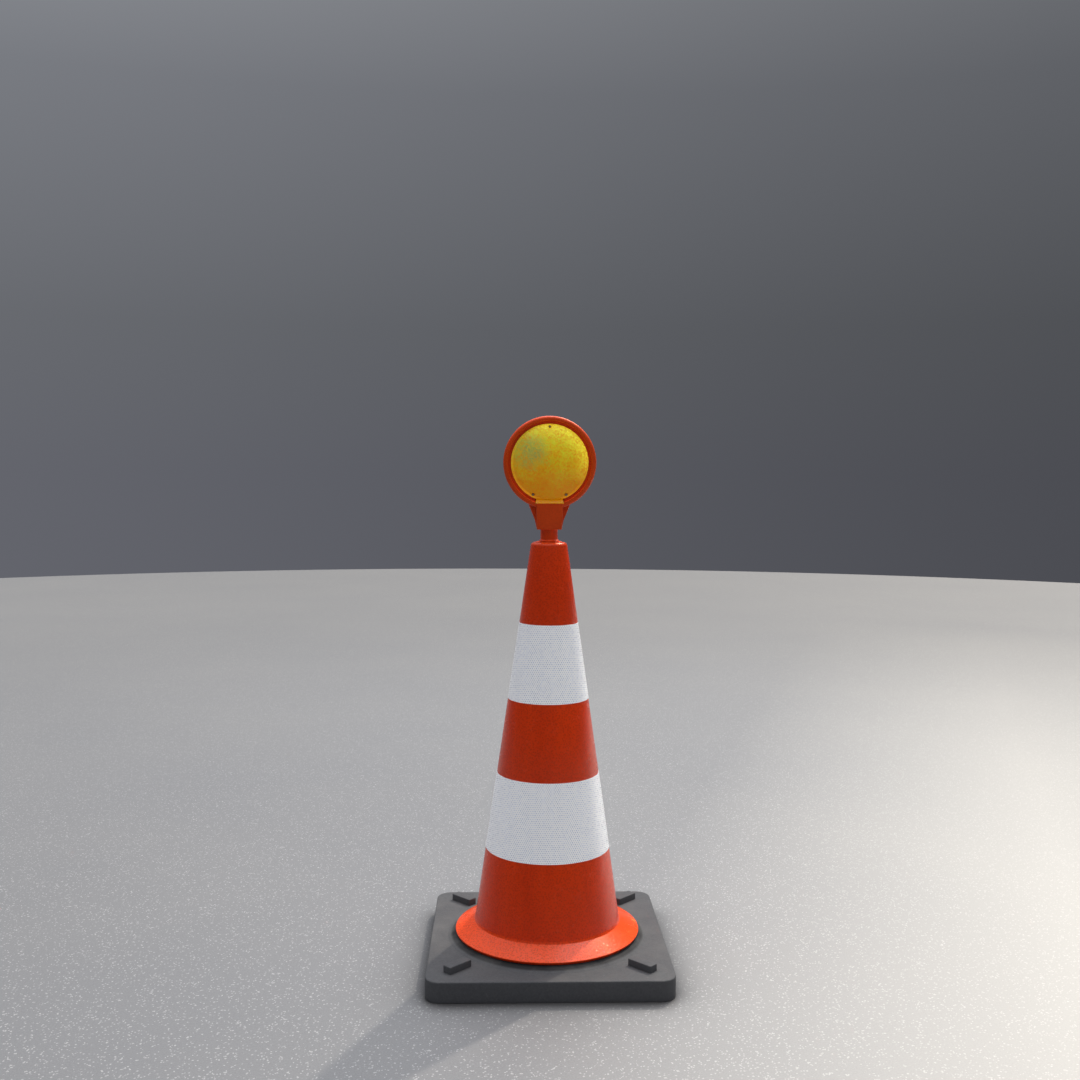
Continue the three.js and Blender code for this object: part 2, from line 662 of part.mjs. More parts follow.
function lens(side) {
  const centre = LENS_APEX - LENS_SPHERE_RADIUS;
  const dome = (radius, sphere) => [radius, centre + Math.sqrt(sphere ** 2 - radius ** 2)];
  const outer = [0, 30, 58, 86].map((r) => dome(r, LENS_SPHERE_RADIUS));
  const rim = [[88.8, 24.4], [89.8, 20], [LENS_RADIUS, 20], [LENS_RADIUS, 16.3]];
  const back = [[80, 16.3], [80, 19.4], [83.6, 21.4]];
  const inner = [83.6, 58, 30, 0].map((r) => dome(r, LENS_SPHERE_RADIUS - LENS_THICKNESS));
  let body = revolve([...outer, ...rim, ...back, ...inner], LAMP_FACETS, side);
  const solidDome = revolve([...outer, ...rim, [0, 16.3]], LAMP_FACETS, side);
  for (const degrees of LENS_SCREW_ANGLES) {
    const place = onRing(side, LENS_SCREW_RADIUS, degrees);
    body = body.add(cylinder(6, 16.3, 60, 10, place).intersect(solidDome));
    body = body.subtract(cylinder(4.2, 20, 60, 10, place));
    body = body.subtract(cylinder(1.8, 10, 30, 8, place));
  }
  // Sloping tab over the top of the neck.
  const flip = side === rear ? -1 : 1;
  const tabLayer = (z, half, depth) => ({
    z,
    polygon: [[-half, -flip * 16.3], [half, -flip * 16.3], [half, -flip * depth], [-half, -flip * depth]],
  });
  const tab = stack([
    tabLayer(TAB_BOTTOM_Z + 0.4, TAB_HALF_WIDTH, 32.6),
    tabLayer(TAB_BOTTOM_Z + 1.6, TAB_HALF_WIDTH, 32.4),
    tabLayer(TAB_BOTTOM_Z + 12.4, TAB_HALF_WIDTH - 2.4, 22),
  ]);
  return union(body, tab);
}

function lensSeal(side) {
  return revolve([
    [87.3, LENS_SEAT_DEPTH + 0.3],
    [LENS_RADIUS - 0.2, LENS_SEAT_DEPTH + 0.3],
    [LENS_RADIUS - 0.2, 16],
    [87.3, 16],
  ], LAMP_FACETS, side);
}

// Pan-head screw: shank from d0 up to the head seat d1.
function screw(place, d0, d1, headRadius, headHeight) {
  const body = revolve([
    [0, d0],
    [1.3, d0 + 1],
    [1.3, d1],
    [headRadius, d1],
    [headRadius, d1 + headHeight * 0.6],
    [headRadius - 1, d1 + headHeight],
    [0, d1 + headHeight],
  ], SMALL_FACETS, place);
  const slot = [[-headRadius, -0.45], [headRadius, -0.45], [headRadius, 0.45], [-headRadius, 0.45]];
  return body.subtract(prism(slot, d1 + headHeight - 0.9, d1 + headHeight + 1, place));
}

function reflector(side) {
  const dish = revolve([
    [REFLECTOR_HOLE_RADIUS, 3.2], [30, 4.4], [54, 8], [72, 12], [80.5, 12],
    [80.5, 10.8], [72.4, 10.8], [54.3, 6.7], [30, 3.1],
    [14, 2], [14, BOARD_HALF + 0.3], [REFLECTOR_HOLE_RADIUS, BOARD_HALF + 0.3],
  ], STEM_FACETS, side);
  return dish;
}

function led(side) {
  return revolve([
    [0, BOARD_HALF + 0.3],
    [5.4, BOARD_HALF + 0.3],
    [5.4, 2.6],
    [4.6, 2.6],
    [4.6, 5.4],
    [4.1, 7.4],
    [2.6, 9.2],
    [0, 10],
  ], 12, side);
}

function photocell() {
  const place = (p) => front([p[0], p[1] + 8.6, p[2]]);
  return revolve([
    [0, BOARD_HALF + 0.3], [2.4, BOARD_HALF + 0.3], [2.4, 3.4], [1.9, 3.9], [0, 3.9],
  ], SMALL_FACETS, place);
}

function switchButton() {
  const rearWall = neckDepth(SWITCH_Z, 0);
  const through = (p) => [p[0], p[2], SWITCH_Z + p[1]];
  return revolve([
    [0, 24.2],
    [4.5, 24.2],
    [4.5, 26],
    [9.4, 26],
    [9.4, 27.8],
    [BUTTON_RADIUS, 27.8],
    [BUTTON_RADIUS, rearWall + 2.4],
    [BUTTON_RADIUS - 1.4, rearWall + 3.6],
    [0, rearWall + 4.4],
  ], 20, through);
}

function switchBody() {
  return union(
    box(-9, 9, 10, 21, SWITCH_Z - 7, SWITCH_Z + 7),
    box(-9, -5, 20, 28, SWITCH_Z + 10, SWITCH_Z + 13),
    box(5, 9, 20, 28, SWITCH_Z + 10, SWITCH_Z + 13),
    box(-9, -5, 14, 21, SWITCH_Z + 6, SWITCH_Z + 13),
    box(5, 9, 14, 21, SWITCH_Z + 6, SWITCH_Z + 13),
  );
}

// ------------------------------------------------------------------ assembly
addPiece('base_plate', basePlate());
addPiece('cone_body', coneBody());
addPiece('upper_reflective_sleeve', sleeve(UPPER_SLEEVE_Z));
addPiece('lower_reflective_sleeve', sleeve(LOWER_SLEEVE_Z));
addPiece('stem_bush', stemBush());
addPiece('stem_tube', stemTube());
addPiece('cell_upper', cell(CELL_TOP_Z));
addPiece('cell_lower', cell(CELL_TOP_Z - CELL_LENGTH - CELL_GAP));
addPiece('top_contact', topContact());
addPiece('contact_spring', contactSpring());
addPiece('battery_cap', batteryCap());
addPiece('cap_seal', capSeal());

for (const [label, side] of [['front', front], ['rear', rear]]) {
  addPiece(`${label}_housing`, housing(side));
  addPiece(`${label}_lens`, lens(side));
  addPiece(`${label}_lens_seal`, lensSeal(side));
  addPiece(`${label}_reflector`, reflector(side));
  addPiece(`${label}_led`, led(side));
  LENS_SCREW_ANGLES.forEach((degrees, index) => {
    const place = onRing(side, LENS_SCREW_RADIUS, degrees);
    addPiece(`${label}_lens_screw_${index + 1}`, screw(place, 5.6, 20.2, 3.4, 2.4));
  });
}
HOUSING_SCREW_ANGLES.forEach((degrees, index) => {
  const place = onRing(rear, HOUSING_SCREW_RADIUS, 180 - degrees);
  addPiece(`housing_screw_${index + 1}`, screw(place, -16, RING_FRONT - 3, 3.1, 2.4));
});

addPiece('led_board', cylinder(BOARD_RADIUS, -BOARD_HALF, BOARD_HALF, STEM_FACETS, front));
addPiece('photocell', photocell());
addPiece('switch_button', switchButton());
addPiece('switch_body', switchBody());

addPiece('battery_wire', wire(
  [[1.6, 0, 1000.4], [1.6, 0.4, 1030], [1.6, 3, 1052], [2, 12, 1060], [2, 15.5, 1064.6]], 0.9, 10, 5,
));
addPiece('return_wire', wire(
  [[-1.6, 0, 1000.4], [-1.6, -0.4, 1050], [-3, -1, 1090], [-4, 0, 1130], [-4, 0, 1162.4]], 0.9, 10, 5,
));
addPiece('switch_wire', wire(
  [[0, 15, 1079.6], [1, 12, 1088], [3, 4, 1104], [4, 0.4, 1130], [4, 0, 1162.4]], 0.9, 10, 5,
));

export default part;
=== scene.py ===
"""Looks of the barricade warning light: lamp on a battery stem, cone and ballast base.

Shapes are worked out in millimetres in the row frame and written in metres.
"""
import json
import math

import bmesh
import bpy
import numpy as np
from mathutils import Matrix, Vector
from mathutils.geometry import delaunay_2d_cdt


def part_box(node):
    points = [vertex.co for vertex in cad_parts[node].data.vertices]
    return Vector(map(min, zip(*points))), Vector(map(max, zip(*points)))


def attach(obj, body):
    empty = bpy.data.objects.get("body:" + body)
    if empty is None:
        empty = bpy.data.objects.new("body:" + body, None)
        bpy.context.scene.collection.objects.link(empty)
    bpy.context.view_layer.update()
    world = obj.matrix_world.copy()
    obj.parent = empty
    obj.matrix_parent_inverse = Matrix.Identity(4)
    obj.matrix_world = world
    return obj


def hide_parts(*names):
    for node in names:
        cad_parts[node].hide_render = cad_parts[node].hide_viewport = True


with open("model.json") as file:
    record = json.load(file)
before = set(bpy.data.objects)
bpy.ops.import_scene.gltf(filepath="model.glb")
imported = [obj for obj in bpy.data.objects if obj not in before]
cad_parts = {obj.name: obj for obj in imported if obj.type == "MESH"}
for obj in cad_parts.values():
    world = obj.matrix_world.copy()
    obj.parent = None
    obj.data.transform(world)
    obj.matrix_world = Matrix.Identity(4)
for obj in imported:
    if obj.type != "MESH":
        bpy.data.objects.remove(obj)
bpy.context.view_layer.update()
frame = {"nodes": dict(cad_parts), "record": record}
MM = 0.001


def span(node):
    """Lowest and highest corner of a CAD node, in millimetres."""
    low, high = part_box(node)
    return [v / MM for v in low], [v / MM for v in high]


# ------------------------------------------------------------ frame positions
CONE_LOW, CONE_HIGH = span("cone_body")
HOUSING_LOW, HOUSING_HIGH = span("front_housing")
STEM_LOW, STEM_HIGH = span("stem_tube")
CAP_LOW, CAP_HIGH = span("battery_cap")
BUTTON_LOW, BUTTON_HIGH = span("switch_button")
UPPER_LOW, UPPER_HIGH = span("upper_reflective_sleeve")
LOWER_LOW, LOWER_HIGH = span("lower_reflective_sleeve")

BASE_HALF = span("base_plate")[1][0]
BASE_CORNER = 36
BASE_TOP = 48
CONE_TOP = CONE_HIGH[2]
SKIRT_R = CONE_HIGH[0]
RING_R = HOUSING_HIGH[0]
LENS_Z = HOUSING_HIGH[2] - RING_R
LENS_APEX = -span("front_lens")[0][1]
RING_FRONT = 31
NECK_Z = HOUSING_LOW[2]
NECK_HEIGHT = 61
SWITCH_Z = (BUTTON_LOW[2] + BUTTON_HIGH[2]) / 2
STEM_R = 20.5
BOARD_R = span("led_board")[1][0]
CONE_TAPER = 0.14467
PARTING_GAP = 0.15

LENS_SCREW_RADIUS = 85
LENS_SCREW_ANGLES = (90, 242.5, 297.5)
HOUSING_SCREW_RADIUS = 103.2
HOUSING_SCREW_ANGLES = (15, 55, 125, 165, 235, 305)


def cone_radius(z):
    return 42.5 + CONE_TAPER * (CONE_TOP - z)


# ------------------------------------------------------------- mesh builders
def front(p):
    """Lamp coordinates (right, up, out of the front lens) to the row frame."""
    return (p[0], -p[2], LENS_Z + p[1])


def rear(p):
    return (-p[0], p[2], LENS_Z + p[1])


def upright(p):
    return p


# Which way a side of the lamp faces: the front looks down the y axis.
FLIP = {front: 1, rear: -1}


def at_switch(p):
    return (p[0], p[2], SWITCH_Z + p[1])


def turned(degrees):
    """Place after a turn about the vertical axis."""
    c, s = math.cos(math.radians(degrees)), math.sin(math.radians(degrees))
    return lambda p: (p[0] * c - p[1] * s, p[0] * s + p[1] * c, p[2])


def on_ring(side, radius, degrees):
    x = radius * math.cos(math.radians(degrees))
    y = radius * math.sin(math.radians(degrees))
    return lambda p: side((p[0] + x, p[1] + y, p[2]))


def make_mesh(name, points, faces):
    mesh = bpy.data.meshes.new(name)
    mesh.from_pydata([tuple(v * MM for v in p) for p in points], [], faces)
    bm = bmesh.new()
    bm.from_mesh(mesh)
    bmesh.ops.remove_doubles(bm, verts=bm.verts, dist=1e-7)
    bmesh.ops.dissolve_degenerate(bm, edges=bm.edges, dist=1e-8)
    bmesh.ops.recalc_face_normals(bm, faces=bm.faces)
    if bm.calc_volume(signed=True) < 0:
        bmesh.ops.reverse_faces(bm, faces=bm.faces)
    bm.to_mesh(mesh)
    bm.free()
    return mesh


def make_object(name, points, faces):
    obj = bpy.data.objects.new(name, make_mesh(name, points, faces))
    bpy.context.scene.collection.objects.link(obj)
    return obj


def soften(obj, degrees=32):
    """Smooth shading with sharp edges only where faces meet steeply."""
    obj.data.polygons.foreach_set("use_smooth", [True] * len(obj.data.polygons))
    obj.data.set_sharp_from_angle(angle=math.radians(degrees))


def rounded(profile, radius=0.5, steps=3, closed=True):
    """Rounds the corners of a profile; a third value in a point sets its own radius."""
    result = []
    count = len(profile)
    for i, point in enumerate(profile):
        own = point[2] if len(point) > 2 else radius
        here = np.array(point[:2], float)
        if not closed and i in (0, count - 1):
            result.append(tuple(here))
            continue
        before = np.array(profile[i - 1][:2], float) - here
        after = np.array(profile[(i + 1) % count][:2], float) - here
        la, lb = np.linalg.norm(before), np.linalg.norm(after)
        before, after = before / la, after / lb
        cosine = float(np.clip(before @ after, -1, 1))
        angle = math.acos(cosine)
        on_axis = here[0] < 1e-6
        if own <= 0 or on_axis or angle > math.radians(172) or angle < 1e-3:
            result.append(tuple(here))
            continue
        reach = min(own / math.tan(angle / 2), 0.46 * la, 0.46 * lb)
        size = reach * math.tan(angle / 2)
        middle = (before + after) / np.linalg.norm(before + after)
        centre = here + middle * size / math.sin(angle / 2)
        start = here + before * reach - centre
        end = here + after * reach - centre
        turn = math.pi - angle
        for k in range(steps + 1):
            t = k / steps
            mixed = (math.sin((1 - t) * turn) * start + math.sin(t * turn) * end) / math.sin(turn)
            result.append(tuple(centre + mixed))
    return result


def arc(centre_r, centre_z, radius, first, last, steps):
    angles = [math.radians(first + (last - first) * i / steps) for i in range(steps + 1)]
    return [(centre_r + radius * math.cos(a), centre_z + radius * math.sin(a)) for a in angles]


def lathe_data(profile, steps, place=upright, shape=None):
    """Turns a closed (radius, height) profile; shape(radius, height, angle) can bend the radius."""
    points, rings, faces = [], [], []
    for radius, height in profile:
        if radius < 1e-6:
            rings.append([len(points)] * steps)
            points.append(place((0, 0, height)))
            continue
        rings.append(list(range(len(points), len(points) + steps)))
        for i in range(steps):
            angle = 2 * math.pi * i / steps
            r = shape(radius, height, angle) if shape else radius
            points.append(place((r * math.cos(angle), r * math.sin(angle), height)))
    for k in range(len(profile)):
        a, b = rings[k], rings[(k + 1) % len(profile)]
        if a[0] == a[-1] and b[0] == b[-1]:
            continue
        for i in range(steps):
            j = (i + 1) % steps
            corners = []
            for index in (a[i], a[j], b[j], b[i]):
                if index not in corners:
                    corners.append(index)
            faces.append(corners)
    return points, faces


def lathe(name, profile, steps, place=upright, shape=None):
    points, faces = lathe_data(profile, steps, place, shape)
    return make_object(name, points, faces)


def stack(name, layers, place=upright):
    """Joins polygons of equal length, each at its own height, into one solid."""
    count = len(layers[0][0])
    points = [place((x, y, z)) for polygon, z in layers for x, y in polygon]
    faces = [list(range(count))[::-1]]
    last = (len(layers) - 1) * count
    faces.append([last + i for i in range(count)])
    for k in range(len(layers) - 1):
        for i in range(count):
            j = (i + 1) % count
            faces.append([k * count + i, k * count + j, (k + 1) * count + j, (k + 1) * count + i])
    return make_object(name, points, faces)


def inset(polygon, distance):
    """Moves every edge of a polygon inwards by a distance."""
    points = np.array(polygon, float)
    area = np.sum(points[:, 0] * np.roll(points[:, 1], -1) - points[:, 1] * np.roll(points[:, 0], -1))
    sign = 1 if area > 0 else -1
    result = []
    for i in range(len(points)):
        before, here, after = points[i - 1], points[i], points[(i + 1) % len(points)]
        a = (here - before) / np.linalg.norm(here - before)
        b = (after - here) / np.linalg.norm(after - here)
        na, nb = sign * np.array([-a[1], a[0]]), sign * np.array([-b[1], b[0]])
        middle = (na + nb) / max(1e-9, 1 + float(na @ nb))
        result.append(tuple(here + middle * distance))
    return result


def soft_prism(name, polygon, z0, z1, round0, round1, place=upright, steps=3):
    """Prism whose end edges are rounded by round0 and round1."""
    quarter = [math.radians(90 * k / steps) for k in range(steps + 1)]
    start = [(round0 * (1 - math.sin(a)), z0 + round0 * (1 - math.cos(a))) for a in quarter]
    end = [(round1 * (1 - math.cos(a)), z1 - round1 * (1 - math.sin(a))) for a in quarter]
    layers = (start if round0 else start[:1]) + (end if round1 else end[:1])
    return stack(name, [(inset(polygon, distance), z) for distance, z in layers], place)


def cylinder(name, radius, z0, z1, steps, place=upright):
    return lathe(name, [(0, z0), (radius, z0), (radius, z1), (0, z1)], steps, place)


def combine(target, operation, tools):
    """Boolean of target with each tool in turn; the tools are used up."""
    for tool in tools:
        modifier = target.modifiers.new("combine", "BOOLEAN")
        modifier.operation = operation
        modifier.solver = "MANIFOLD"
        modifier.object = tool
    bpy.context.view_layer.update()
    graph = bpy.context.evaluated_depsgraph_get()
    mesh = bpy.data.meshes.new_from_object(target.evaluated_get(graph))
    target.modifiers.clear()
    target.data = mesh
    for tool in tools:
        bpy.data.objects.remove(tool)


def tube(name, route, radius, sides=12, per_span=12):
    """Round wire along a smooth line through the given points."""
    route = [Vector(p) for p in route]
    padded = [route[0] * 2 - route[1], *route, route[-1] * 2 - route[-2]]
    line = []
    for i in range(1, len(padded) - 2):
        p0, p1, p2, p3 = padded[i - 1:i + 3]
        for k in range(per_span):
            t = k / per_span
            line.append(0.5 * ((2 * p1) + (p2 - p0) * t + (2 * p0 - 5 * p1 + 4 * p2 - p3) * t * t
                               + (3 * p1 - p0 - 3 * p2 + p3) * t ** 3))
    line.append(route[-1])
    points, faces = [], []
    normal = None
    for i, centre in enumerate(line):
        along = (line[min(i + 1, len(line) - 1)] - line[max(i - 1, 0)]).normalized()
        if normal is None:
            normal = along.orthogonal().normalized()
        normal = (normal - along * normal.dot(along)).normalized()
        other = along.cross(normal)
        for j in range(sides):
            a = 2 * math.pi * j / sides
            points.append(tuple(centre + normal * radius * math.cos(a) + other * radius * math.sin(a)))
    for i in range(len(line) - 1):
        for j in range(sides):
            k = (j + 1) % sides
            faces.append([i * sides + j, i * sides + k, (i + 1) * sides + k, (i + 1) * sides + j])
    faces.append(list(range(sides))[::-1])
    faces.append([len(points) - sides + j for j in range(sides)])
    return make_object(name, points, faces)


# ------------------------------------------------------------------ materials
class Nodes:
    """Short helpers that add nodes to a tree."""

    def __init__(self, tree):
        self.tree = tree

    def node(self, kind, inputs=None, **settings):
        node = self.tree.nodes.new(kind)
        for key, value in settings.items():
            setattr(node, key, value)
        for key, value in (inputs or {}).items():
            if isinstance(value, bpy.types.NodeSocket):
                self.tree.links.new(value, node.inputs[key])
            else:
                node.inputs[key].default_value = value
        return node

    def math(self, operation, a, b=None):
        inputs = {0: a} if b is None else {0: a, 1: b}
        return self.node("ShaderNodeMath", inputs, operation=operation).outputs[0]

    def times(self, a, b):
        return self.math("MULTIPLY", a, b)

    def vector(self, operation, a, b=None, output=0):
        inputs = {0: a} if b is None else {0: a, 1: b}
        return self.node("ShaderNodeVectorMath", inputs, operation=operation).outputs[output]

    def length(self, a):
        return self.vector("LENGTH", a, output="Value")


MATERIALS = {}


class Finish(Nodes):
    """A Principled material with its procedural nodes, kept in MATERIALS under its name."""

    def __init__(self, name, colour, roughness, **settings):
        self.material = MATERIALS[name] = bpy.data.materials.new(name)
        self.material.use_nodes = True
        super().__init__(self.material.node_tree)
        self.shader = next(n for n in self.tree.nodes if n.type == "BSDF_PRINCIPLED")
        self.shader.inputs["Base Color"].default_value = (*colour, 1)
        self.shader.inputs["Roughness"].default_value = roughness
        for key, value in settings.items():
            self.shader.inputs[key.replace("_", " ")].default_value = value
        self.place = self.tree.nodes.new("ShaderNodeTexCoord").outputs["Object"]

    def noise(self, scale, detail=3.0, roughness=0.55, vector=None):
        return self.node("ShaderNodeTexNoise", {
            "Vector": vector or self.place, "Scale": scale, "Detail": detail, "Roughness": roughness,
        }).outputs["Fac"]

    def cells(self, scale):
        return self.node("ShaderNodeTexVoronoi", {"Vector": self.place, "Scale": scale})

    def spread(self, value, low, high, out_low=0.0, out_high=1.0):
        return self.node("ShaderNodeMapRange", {
            "Value": value, "From Min": low, "From Max": high,
            "To Min": out_low, "To Max": out_high,
        }).outputs["Result"]

    def mix(self, factor, a, b):
        node = self.node("ShaderNodeMix", {"Factor": factor}, data_type="RGBA")
        for socket, value in ((node.inputs[6], a), (node.inputs[7], b)):
            if isinstance(value, bpy.types.NodeSocket):
                self.tree.links.new(value, socket)
            else:
                socket.default_value = (*value, 1)
        return node.outputs[2]

    def stretch(self, x, y, z):
        return self.node("ShaderNodeMapping", {"Vector": self.place, "Scale": (x, y, z)}).outputs[0]

    def up(self):
        """How far the surface looks upwards."""
        normal = self.node("ShaderNodeNewGeometry").outputs["Normal"]
        return self.node("ShaderNodeSeparateXYZ", {0: normal}).outputs["Z"]

    def set(self, key, value):
        self.tree.links.new(value, self.shader.inputs[key])

    def bump(self, height, strength, distance, after=None):
        inputs = {"Height": height, "Strength": strength, "Distance": distance}
        if after is not None:
            inputs["Normal"] = after
        normal = self.node("ShaderNodeBump", inputs).outputs["Normal"]
        self.set("Normal", normal)
        return normal


def ballast_rubber():
    f = Finish("ballast_rubber", (0.06, 0.061, 0.065), 0.85)
    grain = f.cells(260)
    fine = f.noise(900, 4)
    tone = f.spread(grain.outputs["Color"], 0.1, 0.9)
    colour = f.mix(tone, (0.070, 0.071, 0.076), (0.084, 0.085, 0.090))
    flecks = f.math("GREATER_THAN", f.cells(150).outputs["Color"], 0.93)
    colour = f.mix(f.times(flecks, 0.2), colour, (0.15, 0.15, 0.16))
    dust = f.spread(f.noise(9, 5, 0.6), 0.45, 0.75)
    # Painted shade: inside a radius just beyond the cone's skirt rim the rubber is painted nearly
    # black, as the shadow under and along the skirt.
    flat = f.vector("MULTIPLY", f.place, (1, 1, 0))
    seat = f.spread(f.length(flat), 0.229, 0.234, 0.92, 0.0)
    colour = f.mix(seat, colour, (0.006, 0.006, 0.007))
    dusty = f.times(dust, f.spread(f.up(), 0.2, 0.9, 0.05, 0.42))
    colour = f.mix(dusty, colour, (0.16, 0.155, 0.148))
    f.set("Base Color", colour)
    f.set("Roughness", f.spread(fine, 0.3, 0.7, 0.72, 0.95))
    first = f.bump(grain.outputs["Distance"], 0.16, 0.0010)
    f.bump(fine, 0.25, 0.0006, first)


def orange_plastic(name, colour, dark, light, gloss, grain_scale, streaks):
    """Moulded plastic with a fine grain, faint flow marks and light rubbing, and painted light on faces
    that look upwards.
    """
    f = Finish(name, colour, gloss, Specular_IOR_Level=0.26 if streaks else 0.2)
    flow = f.noise(14, 4, 0.6, f.stretch(1, 1, 0.12 if streaks else 1))
    tint = f.mix(f.spread(flow, 0.35, 0.7), dark, light)
    scuffs = f.spread(f.noise(55, 6, 0.7, f.stretch(1, 1, 3.5)), 0.62, 0.74)
    rub = f.times(scuffs, f.spread(f.noise(6, 2), 0.48, 0.7, 0.0, 0.3))
    tint = f.mix(rub, tint, tuple(0.55 * c + 0.06 for c in colour))
    # Painted light: faces that look upwards are painted a brighter orange, as if lit from above.
    tint = f.mix(f.spread(f.up(), 0.3, 0.75), tint, (1.0, 0.088, 0.012))
    stipple = f.cells(210)
    pits = f.spread(stipple.outputs["Distance"], 0.1, 0.6, 0.5 if streaks else 0.2, 0.0)
    tint = f.mix(pits, tint, tuple(0.5 * c for c in dark))
    f.set("Base Color", tint)
    grain = f.noise(grain_scale, 3, 0.6)
    wear = f.math("ADD", f.noise(30, 4), scuffs)
    f.set("Roughness", f.spread(wear, 0.3, 1.4, gloss - 0.05, gloss + 0.2))
    first = f.bump(grain, 0.22, 0.0005)
    f.bump(stipple.outputs["Distance"], 0.3 if streaks else 0.12, 0.0008, first)


def retroreflective_white():
    """Prismatic film: sealed hexagonal cells, laid flat by the UV map, in millimetres."""
    # Painted light: the film glows weakly in its own colour, in place of the light that its prisms send
    # back.
    f = Finish("retroreflective_white", (0.92, 0.94, 0.98), 0.3, Coat_Weight=0.35, Coat_Roughness=0.12,
               Emission_Strength=0.15)
    flat = f.node("ShaderNodeUVMap", uv_map="film").outputs[0]
    pitch = 5.2
    size = (pitch, pitch * math.sqrt(3), 1.0)
    half = tuple(v / 2 for v in size)
    found = []
    for shift in ((0, 0, 0), half):
        moved = f.vector("ADD", flat, shift)
        wrapped = f.node("ShaderNodeVectorMath", {0: moved, 1: half, 2: tuple(-v for v in half)},
                         operation="WRAP").outputs[0]
        centre = f.vector("SUBTRACT", moved, wrapped)
        away = f.vector("ABSOLUTE", f.vector("MULTIPLY", wrapped, (1, 1, 0)))
        slanted = f.vector("DOT_PRODUCT", away, (0.5, math.sqrt(3) / 2, 0), "Value")
        across = f.node("ShaderNodeSeparateXYZ", {0: away}).outputs["X"]
        found.append((f.math("MAXIMUM", slanted, across), centre))
    distance = f.math("MINIMUM", found[0][0], found[1][0])
    seal = f.spread(distance, 2.1, 2.4)
    nearer = f.math("LESS_THAN", found[0][0], found[1][0])
    pick = f.node("ShaderNodeMix", {"Factor": nearer, 4: found[1][1], 5: found[0][1]},
                  data_type="VECTOR")
    sparkle = f.node("ShaderNodeTexWhiteNoise", {"Vector": pick.outputs[1]}).outputs["Value"]
    cell = f.mix(sparkle, (0.83, 0.85, 0.91), (1.0, 1.0, 1.0))
    lines = f.spread(f.math("SINE", f.times(f.vector(
        "DOT_PRODUCT", flat, (math.cos(1.05), math.sin(1.05), 0), "Value"), 9.0)), -1, 1, 0, 0.16)
    cell = f.mix(lines, cell, (0.78, 0.80, 0.86))
    dot = f.spread(distance, 0.6, 1.9, 0.85, 0.0)
    cell = f.mix(dot, cell, (0.46, 0.49, 0.56))
    colour = f.mix(seal, cell, (1.0, 1.0, 1.0))
    grime = f.spread(f.noise(12, 5, 0.65), 0.55, 0.8, 0, 0.14)
    colour = f.mix(grime, colour, (0.55, 0.54, 0.53))
    f.set("Base Color", colour)
    f.set("Emission Color", colour)
    f.set("Roughness", f.math("ADD", f.spread(sparkle, 0, 1, 0.22, 0.42), f.times(seal, 0.12)))
    f.bump(seal, 0.4, 0.0003)


def amber_lens():
    """Amber acrylic with painted light: painted paler towards the top and deeper low down, with painted
    paler facets, a painted sky reflection and a painted glow of light through it by its upper rim.
    """
    f = Finish("amber_lens", (1.0, 0.70, 0.02), 0.12, IOR=1.49, Transmission_Weight=0.05,
               Specular_IOR_Level=0.22, Emission_Strength=0.42)
    spot = f.node("ShaderNodeSeparateXYZ", {0: f.place})
    x = spot.outputs["X"]
    z = f.math("SUBTRACT", spot.outputs["Z"], LENS_Z * MM)
    # Painted light: the amber is painted paler towards the top and deeper low down, as if lit from
    # above.
    broad = f.noise(22, 4, 0.65)
    lift = f.math("ADD", z, f.times(broad, 0.12))
    tone = f.spread(lift, 0.015, 0.10)
    colour = f.mix(tone, (1.0, 0.38, 0.001), (1.0, 0.74, 0.02))
    facets = f.cells(240)
    facet = f.spread(facets.outputs["Color"], 0.2, 0.8)
    # Painted highlight: random facets are painted a paler yellow-green, more so towards the top.
    painted_facet_light = f.times(facet, f.spread(tone, 0, 1, 0.15, 0.75))
    colour = f.mix(painted_facet_light, colour, (0.80, 0.86, 0.03))
    ember = f.times(f.spread(facet, 0, 1, 1.0, 0.0), f.spread(f.noise(45, 4, 0.7), 0.45, 0.6))
    colour = f.mix(f.times(ember, 0.5), colour, (1.0, 0.30, 0.001))
    # Painted reflection: a grey-green patch of sky is painted on the lens above the middle and to the
    # left as seen from the front, broken up by the facets.
    reach = f.length(f.vector("SUBTRACT", f.place, (-0.036, 0.0, LENS_Z * MM + 0.022)))
    away = f.math("ADD", reach, f.times(f.noise(34, 4, 0.7), 0.035))
    painted_sky_reflection = f.times(f.spread(away, 0.040, 0.080, 1.0, 0.0), f.spread(facet, 0, 1, 0.45, 1.0))
    colour = f.mix(painted_sky_reflection, colour, (0.22, 0.44, 0.18))
    f.set("Base Color", colour)
    # Painted light: the lens glows yellow towards the upper right as seen from the front and round its
    # rim except at the bottom, as light shining through it from behind, and faintly amber everywhere
    # else; no lamp is lit.
    flat = f.node("ShaderNodeCombineXYZ", {"X": x, "Z": z}).outputs[0]
    radius = f.length(flat)
    side = f.spread(f.math("ADD", f.times(x, 0.75), z), 0.0, 0.085)
    glow = f.times(side, f.spread(radius, 0.055, 0.088, 0.25, 1.0))
    glow = f.times(glow, f.spread(facet, 0, 1, 0.45, 1.0))
    painted_rim_light = f.spread(radius, 0.0855, 0.0885, 0.0, 0.3)
    painted_rim_light = f.times(painted_rim_light, f.spread(z, -0.086, -0.082))
    f.set("Emission Color", f.mix(f.math("MAXIMUM", glow, painted_rim_light), (0.09, 0.028, 0.0), (1.0, 0.86, 0.07)))
    f.set("Roughness", f.spread(f.noise(60, 5, 0.65), 0.35, 0.8, 0.10, 0.24))
    f.bump(facets.outputs["Distance"], 0.25, 0.0014)


